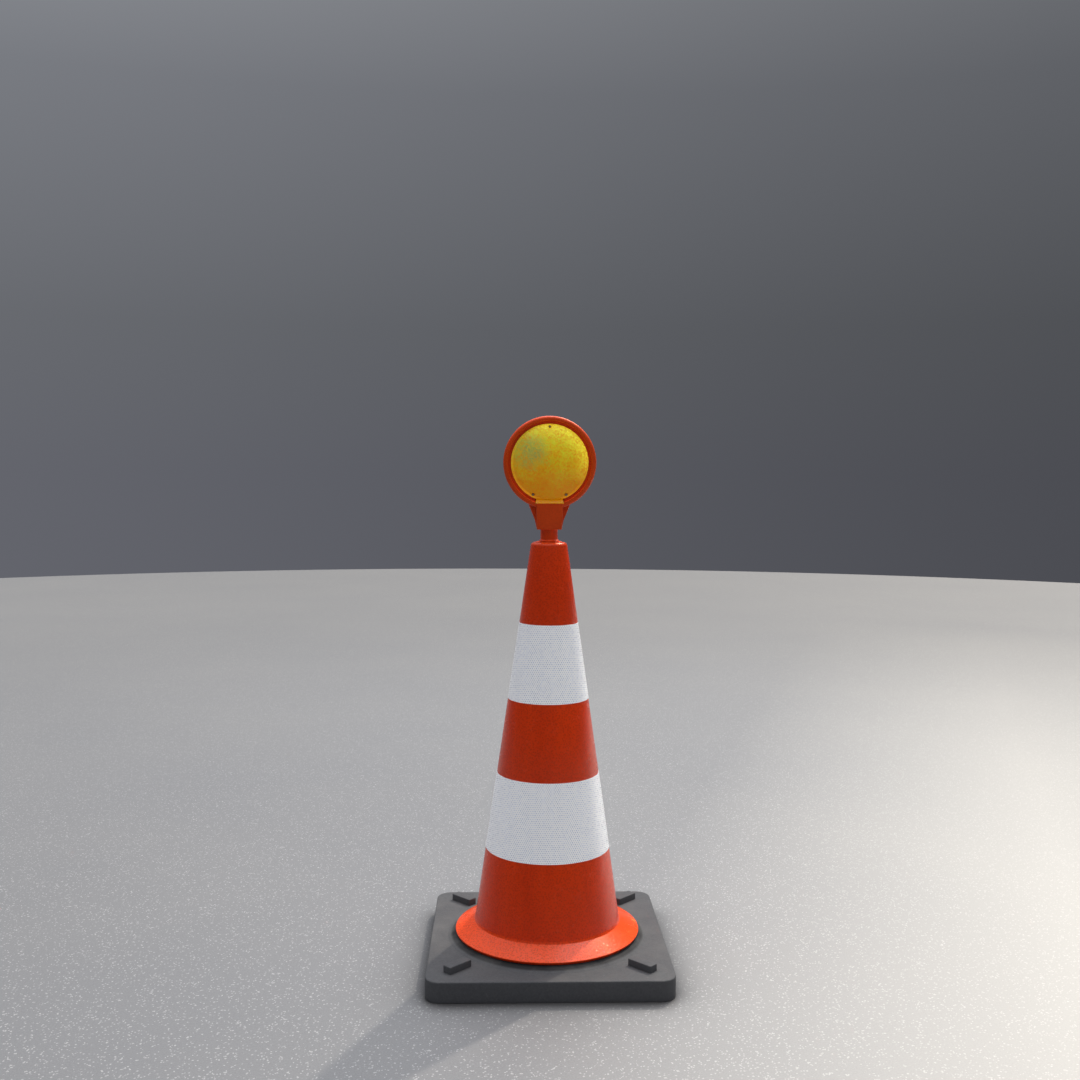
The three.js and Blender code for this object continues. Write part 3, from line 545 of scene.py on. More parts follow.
def simple_finish(name, colour, second, roughness, scale, bump=0.1, depth=0.0003, **settings):
    """Two close tones, uneven gloss and a fine surface grain."""
    f = Finish(name, colour, roughness, **settings)
    f.set("Base Color", f.mix(f.spread(f.noise(scale, 4), 0.35, 0.7), colour, second))
    f.set("Roughness", f.spread(f.noise(scale * 2.3, 4), 0.3, 0.75,
                                max(0.03, roughness - 0.08), min(1, roughness + 0.12)))
    f.bump(f.noise(scale * 12, 3), bump, depth)


def brushed_metal(name, colour, second, roughness, stretch):
    f = Finish(name, colour, roughness, Metallic=1.0)
    brushed = f.noise(400, 3, 0.6, f.stretch(*stretch))
    f.set("Base Color", f.mix(f.spread(f.noise(90, 4), 0.4, 0.7), colour, second))
    f.set("Roughness", f.spread(brushed, 0.3, 0.7, roughness - 0.1, roughness + 0.14))
    f.bump(brushed, 0.12, 0.0002)


ballast_rubber()
orange_plastic("cone_orange", (0.74, 0.044, 0.002), (0.68, 0.038, 0.001),
               (0.80, 0.050, 0.002), 0.25, 1100, True)
orange_plastic("lamp_orange", (0.66, 0.058, 0.001), (0.60, 0.050, 0.001),
               (0.72, 0.066, 0.002), 0.46, 1500, False)
retroreflective_white()
amber_lens()
simple_finish("cell_jacket", (0.012, 0.013, 0.02), (0.02, 0.022, 0.03), 0.28, 60, Coat_Weight=0.4)
simple_finish("black_plastic", (0.016, 0.016, 0.018), (0.026, 0.026, 0.028), 0.45, 120, 0.25, 0.0004)
simple_finish("seal_rubber", (0.012, 0.012, 0.012), (0.022, 0.022, 0.022), 0.8, 150, 0.3, 0.0004)
simple_finish("reflector_white", (0.88, 0.88, 0.86), (0.80, 0.80, 0.79), 0.16, 40, 0.06,
              Coat_Weight=0.5)
simple_finish("led_amber", (1.0, 0.55, 0.08), (0.95, 0.46, 0.05), 0.1, 200, 0.04, 0.0002,
              Transmission_Weight=0.5)
simple_finish("board_green", (0.010, 0.075, 0.028), (0.016, 0.10, 0.04), 0.35, 300, 0.2)
simple_finish("photocell_resin", (0.45, 0.10, 0.04), (0.35, 0.07, 0.03), 0.2, 300)
simple_finish("wire_red", (0.40, 0.012, 0.010), (0.32, 0.010, 0.008), 0.35, 200)
simple_finish("wire_black", (0.012, 0.012, 0.012), (0.02, 0.02, 0.02), 0.35, 200)
simple_finish("wire_yellow", (0.55, 0.36, 0.015), (0.45, 0.28, 0.01), 0.35, 200)
brushed_metal("contact_brass", (0.72, 0.50, 0.18), (0.60, 0.40, 0.14), 0.3, (1, 8, 1))
brushed_metal("plated_spring", (0.70, 0.71, 0.73), (0.60, 0.61, 0.62), 0.25, (1, 1, 1))
brushed_metal("screw_steel", (0.40, 0.36, 0.28), (0.28, 0.25, 0.20), 0.34, (6, 1, 1))


def finish_piece(obj, slot, body, *nodes, degrees=32):
    """Shading, material, body and the CAD nodes that this piece stands for."""
    soften(obj, degrees)
    obj.data.materials.clear()
    obj.data.materials.append(MATERIALS[slot])
    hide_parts(*nodes)
    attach(obj, body)


# ---------------------------------------------------------------- ballast base
def square_ring(half, radius, inward, angles):
    """Rounded square seen from its centre: one point for each polar angle."""
    centre, corner = half - radius, radius - inward
    edge = half - inward
    points = []
    for a in angles:
        cx, cy = abs(math.cos(a)), abs(math.sin(a))
        reach = edge / max(cx, cy)
        x, y = reach * cx, reach * cy
        if min(x, y) > centre:
            b = -centre * (cx + cy)
            reach = -b + math.sqrt(max(0, b * b - (2 * centre * centre - corner * corner)))
            x, y = reach * cx, reach * cy
        points.append((math.copysign(x, math.cos(a)), math.copysign(y, math.sin(a))))
    return points


def base_plate():
    steps = 288
    angles = [2 * math.pi * (i + 0.5) / steps for i in range(steps)]

    def square(half, radius, inward, z):
        return [(x, y, z) for x, y in square_ring(half, radius, inward, angles)]

    def circle(radius, z):
        return [(radius * math.cos(a), radius * math.sin(a), z) for a in angles]

    foot = [math.radians(30 * k) for k in range(4)]
    crown = [math.radians(18 * k) for k in range(6)]
    outside = [(1.5 * (1 - math.sin(a)), 1.5 * (1 - math.cos(a))) for a in foot]
    outside += [(0, 8), (0, BASE_TOP - 6)]
    outside += [(3 * (1 - math.cos(a)), BASE_TOP - 3 * (1 - math.sin(a))) for a in crown]
    outside += [(5, BASE_TOP), (24, BASE_TOP)]
    rings = [square(BASE_HALF, BASE_CORNER, inward, z) for inward, z in outside]
    rings.append(circle(249, BASE_TOP))
    profile = rounded([
        (246, BASE_TOP), (240, BASE_TOP, 7.0), (217.5, 58.0, 1.5), (213, 61.2, 1.0), (176, 80.1, 1.0),
        (160.5, 80.1, 1.5), (160.5, 22, 0.5), (172, 22, 0.5), (172, 6, 1.0), (178, 6),
    ], closed=False)
    rings.extend(circle(r, z) for r, z in profile)
    recess_half, recess_corner = 235, 20
    for inward, z in ((3, 6), (0.8, 5.6), (0, 4.8), (-0.4, 0.4), (-1, 0)):
        rings.append(square(recess_half, recess_corner, inward, z))
    points = [p for ring in rings for p in ring]
    faces = []
    for k in range(len(rings)):
        a, b = k * steps, (k + 1) % len(rings) * steps
        for i in range(steps):
            j = (i + 1) % steps
            faces.append([a + i, a + j, b + j, b + i])
    plate = make_object("ballast_base", points, faces)
    middle = 209 * math.sqrt(2)
    outline = rounded([
        (middle - 33, -12.5), (middle + 33, -12.5), (middle + 33, 12.5), (middle - 33, 12.5),
    ], 3.5, 4)
    lugs = [
        soft_prism("lug", outline, BASE_TOP - 4, BASE_TOP + 16, 0, 2.0, turned(45 + 90 * corner), 4)
        for corner in range(4)
    ]
    combine(plate, "UNION", lugs)
    finish_piece(plate, "ballast_rubber", "stand", "base_plate", degrees=38)


# ------------------------------------------------------------------------ cone
def skirt_under(r):
    return CONE_LOW[2] + 50.9 + (SKIRT_R - 3 - r) * 0.51


def cone_shell():
    recess = 0.7
    outside = [
        (SKIRT_R - 3, 58.9, 0.8), (SKIRT_R, 64.0, 0.8), (SKIRT_R - 0.4, 65.8, 0.9),
        (cone_radius(89.3) + 1.8, 88.4, 3.0), (cone_radius(94), 94, 1.0),
    ]
    for low, high in ((LOWER_LOW[2], LOWER_HIGH[2]), (UPPER_LOW[2], UPPER_HIGH[2])):
        outside += [
            (cone_radius(low - 1), low - 1, 0.2), (cone_radius(low - 0.6) - recess, low - 0.6, 0.1),
            (cone_radius(high + 0.6) - recess, high + 0.6, 0.1), (cone_radius(high + 1), high + 1, 0.2),
        ]
    shoulder = [(r, z, 0) for r, z in arc(43.9 - 9.5, CONE_TOP - 9.5, 9.5, 8, 90, 10)]
    inside = [
        (27.3, CONE_TOP, 0.5), (27.3, 975, 0.4), (30.5, 975, 0.4), (30.5, CONE_TOP - 7, 0.8),
        (36.5, CONE_TOP - 7, 1.5), (cone_radius(CONE_TOP - 10) - 4, CONE_TOP - 10, 1.0),
        (cone_radius(89.3) - 4, 89.3, 1.5), (155.5, 88.3, 0.6), (155.5, 8, 0.6),
    ]
    collar = [
        (160.5, 8, 0.8), (166.5, 18, 0.8), (166.5, 21.6, 0.4), (159.5, 21.6, 0.4),
        (159.5, skirt_under(176), 0.5), (176, skirt_under(176), 0.8),
    ]
    cone = lathe("cone_shell", rounded([*outside, *shoulder, *inside, *collar]), 192)
    outline = [(145, -7), (175, -7), (175, 7), (145, 7)]
    slots = [stack("slot", [(outline, 0), (outline, 44)], turned(45 * (i + 0.5))) for i in range(8)]
    combine(cone, "DIFFERENCE", slots)
    finish_piece(cone, "cone_orange", "stand", "cone_body", degrees=35)


def reflective_sleeve(name, node, low, high):
    """Film wrapped round the cone; its ends overlap at the back."""
    steps = 192
    seam = math.radians(90)
    lap = math.radians(5)

    def shape(radius, height, angle):
        inner = cone_radius(height) - 0.4
        back = (angle - seam) % (2 * math.pi)
        over = 0.45 * max(0.0, 1 - back / lap) if radius > inner + 0.5 else 0.0
        return radius + over

    rows = 12
    profile = [(cone_radius(low) - 0.4, low)]
    for k in range(rows + 1):
        z = low + 0.35 + (high - low - 0.7) * k / rows
        profile.append((cone_radius(z) + 0.6, z))
    profile.insert(1, (cone_radius(low) + 0.3, low))
    profile += [(cone_radius(high) + 0.3, high), (cone_radius(high) - 0.4, high)]
    sleeve = lathe(name, profile, steps, shape=shape)
    # The film is cut from flat sheet, so its pattern is unrolled from the cone.
    slope = math.atan(CONE_TAPER)
    layer = sleeve.data.uv_layers.new(name="film")
    for polygon in sleeve.data.polygons:
        around = []
        for index in polygon.vertices:
            x, y, z = sleeve.data.vertices[index].co / MM
            around.append((math.atan2(y, x) - seam) % (2 * math.pi))
        wraps = max(around) - min(around) > math.pi
        for loop, index, angle in zip(polygon.loop_indices, polygon.vertices, around):
            if wraps and angle < math.pi:
                angle += 2 * math.pi
            x, y, z = sleeve.data.vertices[index].co / MM
            radius = math.hypot(x, y)
            slant, flat = radius / math.sin(slope), (angle - math.pi) * math.sin(slope)
            layer.data[loop].uv = (slant * math.sin(flat), slant * math.cos(flat))
    finish_piece(sleeve, "retroreflective_white", "stand", node, degrees=25)


# -------------------------------------------------------- stem, bush, end cap
def stem_bush():
    bush = lathe("bush_ring", rounded([
        (20.9, 985, 0.5), (26, 985, 0.8), (27, CONE_TOP + 0.2, 0.2), (31, CONE_TOP + 0.2, 0.3),
        (30.6, CONE_TOP + 1.6, 0.7), (20.9, CONE_TOP + 1.6, 0.4),
    ]), 128)
    finish_piece(bush, "lamp_orange", "bush", "stem_bush")


def stem_tube():
    steps = 128
    low, high = 858.0, 878.0
    pitch = 6.0
    rest = CONE_TOP + 1.9
    seat = NECK_Z + 3.3

    def thread(radius, height, angle):
        if not low <= height <= high or radius < STEM_R - 0.01:
            return radius
        share = ((height - low) / pitch - angle / (2 * math.pi)) % 1
        ridge = min(1.0, max(0.0, 1.6 - abs(share - 0.5) * 6))
        fade = min(1, (height - low) / 3, (high - height) / 3)
        return radius + 0.34 * ridge * max(0, fade)

    rows = [(STEM_R, low + (high - low) * k / 64) for k in range(65)]
    rest_of_stem = rounded([
        (STEM_R, 878.2, 0), (STEM_R, 883.8, 0.2), (23.3, 883.8, 0.4), (STEM_R, 887.4, 1.0),
        (STEM_R, 981.4, 0.5), (21.8, 984.6, 0.3), (STEM_R, 984.6, 0.1),
        (STEM_R, rest, 0.1), (23.5, rest, 0.5), (23.5, rest + 2, 0.8), (STEM_R, rest + 4.5, 2.0),
        (STEM_R, seat, 0.3), (24.5, seat, 0.4), (24.5, seat + 3, 0.4), (STEM_R, seat + 4.2, 0.5),
        (STEM_R, STEM_HIGH[2], 0.4), (17.8, STEM_HIGH[2], 0.4), (17.8, 1003, 0.8), (4, 1003, 0.3),
        (4, 1000, 0.3), (17.8, 1000, 0.4), (17.8, STEM_LOW[2], 0.4), (STEM_R, STEM_LOW[2], 0.6),
    ])
    stem = lathe("battery_stem", [*rows, *rest_of_stem], steps, shape=thread)
    finish_piece(stem, "lamp_orange", "lamp", "stem_tube")


def battery_cap():
    low, high = CAP_LOW[2], CAP_HIGH[2]
    cap = lathe("end_cap", rounded([
        (0, low), (24.5, low, 2.2), (24.5, high, 1.0), (20.9, high, 0.4),
        (20.9, low + 4, 0.6), (0, low + 4),
    ], 0.5, 4), 144)
    cuts = []
    for i in range(12):
        cuts.append(lathe("flute", rounded([
            (0, low - 2), (2.6, low - 2), (2.6, high - 6, 2.4), (0, high - 6),
        ], 0.5, 5), 32, on_ring(upright, 25.6, 30 * i)))
    slot = rounded([(-15, -1.3), (15, -1.3), (15, 1.3), (-15, 1.3)], 1.2, 5)
    cuts.append(stack("slot", [(slot, low - 1), (slot, low + 1.8)]))
    combine(cap, "DIFFERENCE", cuts)
    finish_piece(cap, "black_plastic", "cap", "battery_cap")


def cap_seal():
    bulge = arc(22.0, 881.9, 1.3, -60, 60, 8)
    ring = [(20.9, 880.4), (22.5, 880.4), *bulge, (22.5, 883.4), (20.9, 883.4)]
    seal = lathe("cap_seal_ring", ring, 96)
    finish_piece(seal, "seal_rubber", "cap_thread", "cap_seal")


def contact_spring():
    route = []
    for i in range(73):
        share = i / 72
        angle = 6 * math.pi * share
        radius = 12.5 - 6.5 * share
        route.append((radius * math.cos(angle), radius * math.sin(angle), 853.2 + 21.2 * share))
    spring = tube("coil_spring", route, 0.78, 12, 3)
    finish_piece(spring, "plated_spring", "cap", "contact_spring")


def cell(name, node):
    low, top = (corner[2] for corner in span(node))
    body = lathe(name, rounded([
        (0, low + 0.4), (9, low + 0.4), (9.6, low, 0.3), (16.1, low, 0.8), (17.1, low + 1.4, 0.8),
        (17.1, top - 1.6, 1.0), (15.6, top - 1.6, 0.3), (15.2, top - 2.1, 0.2), (5.4, top - 2.1, 0.3),
        (4.8, top, 0.7), (0, top),
    ]), 96)
    finish_piece(body, "cell_jacket", "lamp", node)


def top_contact():
    disc = lathe("contact_disc", rounded([
        (0, 998.8), (13, 998.8, 0.3), (13, 999.6, 0.3), (9, 999.6, 0.4), (8.4, 999.2, 0.4), (0, 999.2),
    ]), 72)
    combine(disc, "DIFFERENCE", [cylinder("hole", 1.6, 990, 1010, 24, on_ring(upright, 7, 0))])
    finish_piece(disc, "contact_brass", "lamp", "top_contact")


# ------------------------------------------------------------------- lamp head
def neck_half(z, inward=0):
    return 29.4 + 2.3 * (z - NECK_Z) / NECK_HEIGHT - inward


def neck_depth(z, inward=0):
    return 29 + 4 * (z - NECK_Z) / NECK_HEIGHT - inward


def neck_block(name, z0, z1, depth0, inward, side, soft=2.2, foot=1.6):
    """Tapered block between two heights, rounded along its outer corners and its foot."""
    flip = FLIP[side]
    layers = []
    heights = [(z0 + foot * (1 - math.cos(a)), foot * (1 - math.sin(a)))
               for a in (math.radians(22.5 * k) for k in range(5))] if foot else [(z0, 0)]
    for z, more in [*heights, (z1, 0)]:
        half, depth = neck_half(z, inward + more), neck_depth(z, inward + more)
        outline = [(half, depth0), (half, depth - soft)]
        for k in range(1, 7):
            a = math.radians(15 * k)
            outline.append((half - soft + soft * math.cos(a), depth - soft + soft * math.sin(a)))
        outline += [(-x, d) for x, d in reversed(outline)]
        layers.append(([(x, -flip * d) for x, d in outline], z))
    return stack(name, layers)


def slab(name, outline, d0, d1, side, soft=0.0):
    """Extrudes an (x, z) outline from depth d0 to d1 in front of the parting line."""
    flip = FLIP[side]
    return soft_prism(name, outline, d0, d1, 0, soft, lambda p: (flip * p[0], -flip * p[2], p[1]))


WINGS = [(-50, 1100), (-49.9, 1091.8), (-34, 1052), (-29.4, 1031),
         (29.4, 1031), (34, 1052), (49.9, 1091.8), (50, 1100)]
WING_CAVITY = [(-45, 1088), (-31, 1053), (-26.4, 1034), (26.4, 1034), (31, 1053), (45, 1088)]


def housing(label, side, node):
    is_rear = side is rear
    steps = 192
    swell = 8
    lip = [(RING_R, PARTING_GAP, 0.7)]
    lip += [(*point, 0) for point in arc(RING_R - swell, RING_FRONT - swell, swell, 0, 90, 12)]
    lip += [(99.2, RING_FRONT, 1.4), (98.2, 18.5, 0.8)]
    ring = lathe(f"{label}_shell", rounded([
        *lip, (92.5, 18.5, 0.4), (92.5, 14.5, 0.3), (77, 14.5, 0.4), (77, 12.2, 0.4), (95.7, 12.2, 0.5),
        (95.7, 15.3, 0.5), (101.4, 15.3, 1.0), (102.4, 27.8, 1.0), (106.8, 27.8, 1.0),
        (106.8, PARTING_GAP, 0.3),
    ], 0.4, 4), steps, side)
    tab_space = lathe("fill", rounded([(0, PARTING_GAP), *lip, (0, 18.5)], 0.4, 4), steps, side)
    trim = lathe("trim", [(0, 14.5), (92.5, 14.5), (92.5, 60), (0, 60)], steps, side)
    combine(tab_space, "DIFFERENCE", [trim])
    tab_block = slab("tab", [(-36.6, 1086), (36.6, 1086), (36.6, 1105), (-36.6, 1105)], 12.2, 40, side)
    combine(tab_block, "INTERSECT", [tab_space])
    neck = neck_block("neck", NECK_Z, 1092, PARTING_GAP, 0, side)
    combine(ring, "UNION", [tab_block, neck, slab("wings", WINGS, PARTING_GAP, 12, side, 1.2)])
    pocket = slab("pocket", [(-34, 1092), (34, 1092), (34, 1120), (-34, 1120)], 14.5, 60, side)
    combine(pocket, "DIFFERENCE", [cylinder("keep", 84, -60, 60, 96, front)])
    combine(ring, "DIFFERENCE", [
        neck_block("hollow", NECK_Z + 3, 1089, -1, 3, side, 1.5, 0),
        slab("wing_hollow", WING_CAVITY, -1, 9, side),
        slab("passage", [(-28, 1080), (28, 1080), (28, 1100), (-28, 1100)], -1, 12.19, side),
        pocket,
        cylinder("stem_hole", STEM_R + 0.4, NECK_Z - 5, NECK_Z + 4, 96),
    ])
    for degrees in LENS_SCREW_ANGLES:
        place = on_ring(side, LENS_SCREW_RADIUS, degrees)
        combine(ring, "UNION", [cylinder("post", 3.8, 4, 13.2, 32, place)])
        combine(ring, "DIFFERENCE", [cylinder("bore", 1.5, 5, 15.5, 24, place)])
    for degrees in HOUSING_SCREW_ANGLES:
        angle = 180 - degrees if is_rear else degrees
        place = on_ring(side, HOUSING_SCREW_RADIUS, angle)
        combine(ring, "UNION", [cylinder("post", 3.5, PARTING_GAP, RING_FRONT - 2, 32, place)])
        if is_rear:
            combine(ring, "DIFFERENCE", [
                cylinder("bore", 1.8, -1, RING_FRONT + 1, 24, place),
                cylinder("head", 3.4, RING_FRONT - 3.2, RING_FRONT + 1, 40, place),
            ])
        else:
            combine(ring, "DIFFERENCE", [cylinder("bore", 1.5, -1, 18, 24, place)])
    if is_rear:
        combine(ring, "DIFFERENCE", [
            cylinder("button_hole", 7.9, 20, 40, 64, at_switch),
        ])
    finish_piece(ring, "lamp_orange", "lamp", node, degrees=34)


def lens(label, side, node):
    sphere = 199.4
    centre = LENS_APEX - sphere
    edge = 83.6
    wall = 2.6
    steps = 192

    def dome(radius, thickness=0.0):
        return centre + math.sqrt((sphere - thickness) ** 2 - radius ** 2)

    outer = [(r, dome(r)) for r in np.linspace(0, 86.2, 26)]
    rim = rounded([
        (86.2, dome(86.2)), (88.8, 24.6, 1.6), (89.8, 20, 0.4), (91.7, 20, 0.5), (91.7, 16.3, 0.5),
        (80, 16.3, 0.4), (80, 19.4, 0.4), (edge, dome(edge, wall)),
    ], closed=False)[1:]
    open_profile = [*outer, *rim]
    points, faces = lathe_data(open_profile, steps, side)
    faces = faces[:(len(open_profile) - 1) * steps]
    ring_start = len(points) - steps
    # Inside face: square pillow prisms on the dome, with a ring left plain at its edge.
    pitch = 4.2
    grid = []
    cells = 4
    reach = int(edge / (pitch / cells)) + 1
    for i in range(-reach, reach + 1):
        for j in range(-reach, reach + 1):
            x, y = i * pitch / cells, j * pitch / cells
            if math.hypot(x, y) < edge - 0.9:
                grid.append((x, y))
    angles = [2 * math.pi * i / steps for i in range(steps)]
    flat = [Vector((edge * math.cos(a), edge * math.sin(a))) for a in angles]
    flat += [Vector(p) for p in grid]
    edges = [(i, (i + 1) % steps) for i in range(steps)]
    verts, _, triangles, originals, _, _ = delaunay_2d_cdt(flat, edges, [], 0, 1e-4)
    index = {}
    for k, (vert, source) in enumerate(zip(verts, originals)):
        if source and source[0] < steps:
            index[k] = ring_start + source[0]
            continue
        x, y = vert
        u, v = (x / pitch) % 1, (y / pitch) % 1
        fade = min(1, max(0, (edge - 2 - math.hypot(x, y)) / 3))
        pillow = 0.75 * fade * 16 * u * (1 - u) * v * (1 - v)
        index[k] = len(points)
        points.append(side((x, y, dome(math.hypot(x, y), wall) - pillow)))
    faces += [[index[a], index[b], index[c]] for a, b, c in triangles]
    body = make_object(f"{label}_amber_lens", points, faces)
    solid = lathe("solid", [*outer, *rim[:-3], (0, 16.3)], steps, side)
    for degrees in LENS_SCREW_ANGLES:
        place = on_ring(side, LENS_SCREW_RADIUS, degrees)
        boss = cylinder("boss", 6, 16.3, 60, 48, place)
        copy = bpy.data.objects.new("solid_copy", solid.data.copy())
        bpy.context.scene.collection.objects.link(copy)
        combine(boss, "INTERSECT", [copy])
        combine(body, "UNION", [boss])
        combine(body, "DIFFERENCE", [
            cylinder("pocket", 4.2, 20, 60, 48, place), cylinder("bore", 1.8, 10, 30, 32, place),
        ])
    bpy.data.objects.remove(solid)
    flip = FLIP[side]
    layers = []
    for z, half, depth in ((1092.4, 33.0, 31.9), (1092.6, 33.3, 32.3), (1093.2, 33.4, 32.5),
                           (1094, 33.3, 32.2), (1104.4, 31, 22)):
        outline = rounded([
            (half, 16.3, 0.3), (half, depth, 1.4), (-half, depth, 1.4), (-half, 16.3, 0.3),
        ])
        layers.append(([(x, -flip * d) for x, d in outline], z))
    combine(body, "UNION", [stack("tab", layers)])
    finish_piece(body, "amber_lens", "lamp", node, degrees=24)


def lens_seal(label, side, node):
    seal = lathe(f"{label}_gasket", rounded([
        (87.3, 14.8), (91.5, 14.8), (91.5, 16), (87.3, 16),
    ], 0.35, 3), 160, side)
    finish_piece(seal, "seal_rubber", "lamp", node)


def reflector(label, side, node):
    """Dish with concentric steps that spread the light."""
    front_face = []
    shape_r, shape_z = (12, 30, 54, 72), (3.2, 4.4, 8, 12)
    for k in range(31):
        r = 12 + 60 * k / 30
        z = float(np.interp(r, shape_r, shape_z))
        front_face.append((r, z - (0.25 if k % 2 else 0.0), 0.3))
    dish = lathe(f"{label}_dish", rounded([
        *front_face, (80.5, 12, 0.3), (80.5, 10.8, 0.3), (72.4, 10.8, 0.5), (54.3, 6.7, 0),
        (30, 3.1, 0.5), (14, 2, 0.3), (14, 1.1, 0.2), (12, 1.1, 0.2),
    ], 0.3, 2), 144, side)
    finish_piece(dish, "reflector_white", "lamp", node, degrees=20)


def led(label, side, node):
    dome = arc(0, 5.4, 4.6, 0, 90, 10)
    body = lathe(f"{label}_emitter", [
        (0, 1.1), (5.4, 1.1), (5.4, 2.4), (5.2, 2.6), (4.6, 2.6), *dome[:-1], (0, 10),
    ], 48, side)
    finish_piece(body, "led_amber", "lamp", node)


def screw(name, node, place, d0, d1, head_radius, head_height):
    """Pan-head screw with a thread and a slot."""
    pitch = 1.1
    top = d1 - 0.6

    def thread(radius, height, angle):
        if radius > 1.31 or radius < 1.2 or not d0 + 1 <= height <= top:
            return radius
        share = ((height - d0) / pitch - angle / (2 * math.pi)) % 1
        return radius - 0.22 * abs(share - 0.5) * 2

    rows = [(1.3, d0 + 1 + (top - d0 - 1) * k / 60) for k in range(61)]
    head = rounded([
        (1.3, d1, 0.1), (head_radius, d1, 0.2), (head_radius, d1 + head_height * 0.7, 1.0),
        (head_radius - 1.2, d1 + head_height, 1.0), (0, d1 + head_height),
    ], 0.2, 4, closed=False)
    piece = lathe(name, [(0, d0), *rows, *head], 32, place, thread)
    half = head_radius + 1
    slot = [(-half, -0.45), (half, -0.45), (half, 0.45), (-half, 0.45)]
    cut = stack("slot", [(slot, d1 + head_height - 0.9), (slot, d1 + head_height + 1)], place)
    combine(piece, "DIFFERENCE", [cut])
    finish_piece(piece, "screw_steel", "lamp", node)


def switch_button():
    depth = neck_depth(SWITCH_Z)
    ripple = []
    for k in range(9):
        r = 6.2 * (1 - k / 8)
        ripple.append((r, depth + 3.9 + 0.5 * (k / 8) - (0.28 if k % 2 else 0), 0.2))
    button = lathe("push_button", rounded([
        (0, 24.2), (4.5, 24.2, 0.3), (4.5, 26, 0.3), (9.4, 26, 0.3), (9.4, 27.8, 0.4), (7.4, 27.8, 0.3),
        (7.4, depth + 3.4, 1.0), *ripple,
    ], 0.3, 4), 72, at_switch)
    finish_piece(button, "black_plastic", "button", "switch_button")


def circuit_board():
    board = cylinder("round_board", BOARD_R, -0.8, 0.8, 96, front)
    holes = [cylinder("hole", 1.1, -2, 2, 24, on_ring(front, 22, 30 + 60 * k)) for k in range(6)]
    combine(board, "DIFFERENCE", holes)
    finish_piece(board, "board_green", "lamp", "led_board")


base_plate()
cone_shell()
reflective_sleeve("upper_film_sleeve", "upper_reflective_sleeve", UPPER_LOW[2], UPPER_HIGH[2])
reflective_sleeve("lower_film_sleeve", "lower_reflective_sleeve", LOWER_LOW[2], LOWER_HIGH[2])
stem_bush()
stem_tube()
battery_cap()
cap_seal()
contact_spring()
cell("upper_cell", "cell_upper")
cell("lower_cell", "cell_lower")
top_contact()
for tag, facing in (("front", front), ("rear", rear)):
    housing(tag, facing, f"{tag}_housing")
    lens(tag, facing, f"{tag}_lens")
    lens_seal(tag, facing, f"{tag}_lens_seal")
    reflector(tag, facing, f"{tag}_reflector")
    led(tag, facing, f"{tag}_led")
    for number, at_angle in enumerate(LENS_SCREW_ANGLES, 1):
        screw(f"{tag}_face_screw_{number}", f"{tag}_lens_screw_{number}",
              on_ring(facing, LENS_SCREW_RADIUS, at_angle), 5.6, 20.2, 3.4, 2.4)
for number, at_angle in enumerate(HOUSING_SCREW_ANGLES, 1):
    screw(f"shell_screw_{number}", f"housing_screw_{number}",
          on_ring(rear, HOUSING_SCREW_RADIUS, 180 - at_angle), -16, RING_FRONT - 3, 3.1, 2.4)
switch_button()
circuit_board()

# The CAD nodes that stay as they are get the finish of their slot.
NODE_SLOTS = {
    entry["node"]: entry.get("material_slot") for entry in frame["record"].get("subparts", [])
}
for node_name, obj in frame["nodes"].items():
    if not obj.hide_render:
        chosen = MATERIALS[NODE_SLOTS[node_name]]
        obj.data.materials.clear()
        obj.data.materials.append(chosen)
        for slot_entry in obj.material_slots:
            slot_entry.material = chosen

# ----------------------------------------------------- floor, light and camera
FLOOR_RADIUS = 11500


def floor_finish():
    f = Finish("floor_plaster", (0.29, 0.29, 0.295), 0.6, Metallic=0.3)
    speck = f.noise(260, 3, 0.7)
    broad = f.noise(0.9, 3, 0.5)
    colour = f.mix(f.spread(broad, 0.3, 0.7), (0.205, 0.210, 0.222), (0.225, 0.228, 0.236))
    colour = f.mix(f.spread(speck, 0.4, 0.62, 0, 0.35), colour, (0.165, 0.165, 0.175))
    glint = f.math("GREATER_THAN", f.cells(330).outputs["Color"], 0.84)
    colour = f.mix(f.times(glint, 0.45), colour, (0.60, 0.60, 0.60))
    # Painted light: the floor is painted paler farther from the object, where the lamps light it less.
    away = f.spread(f.length(f.place), 1.4, 8.0)
    colour = f.mix(f.times(away, 0.22), colour, (0.50, 0.50, 0.50))
    # Painted sheen: near the object the floor is painted a warmer, lighter tone towards the right and
    # front.
    right = f.vector("DOT_PRODUCT", f.place, (1.0, -0.35, 0.0), "Value")
    warm = f.times(f.spread(right, 0.1, 1.35, 0.0, 0.38), f.spread(away, 0.0, 0.85, 1.0, 0.0))
    colour = f.mix(warm, colour, (0.80, 0.77, 0.71))
    # Painted shade: an ambient occlusion node paints the floor darker close to the object, as its
    # contact shadow.
    near = f.node("ShaderNodeAmbientOcclusion", {"Distance": 0.18}).outputs["AO"]
    colour = f.mix(f.spread(near, 0.55, 1.0, 0.92, 0.0), colour, (0.05, 0.05, 0.056))
    f.set("Base Color", colour)
    f.set("Roughness", f.spread(speck, 0.3, 0.7, 0.56, 0.70))
    f.bump(speck, 0.3, 0.002)
    return f.material


floor = lathe("floor_disc", [
    (0, 0), (300, 0), (1500, 0), (5000, 0), (FLOOR_RADIUS, 0), (FLOOR_RADIUS, -40), (0, -40),
], 180)
floor.location.z = -0.0003
soften(floor)
floor.data.materials.append(floor_finish())

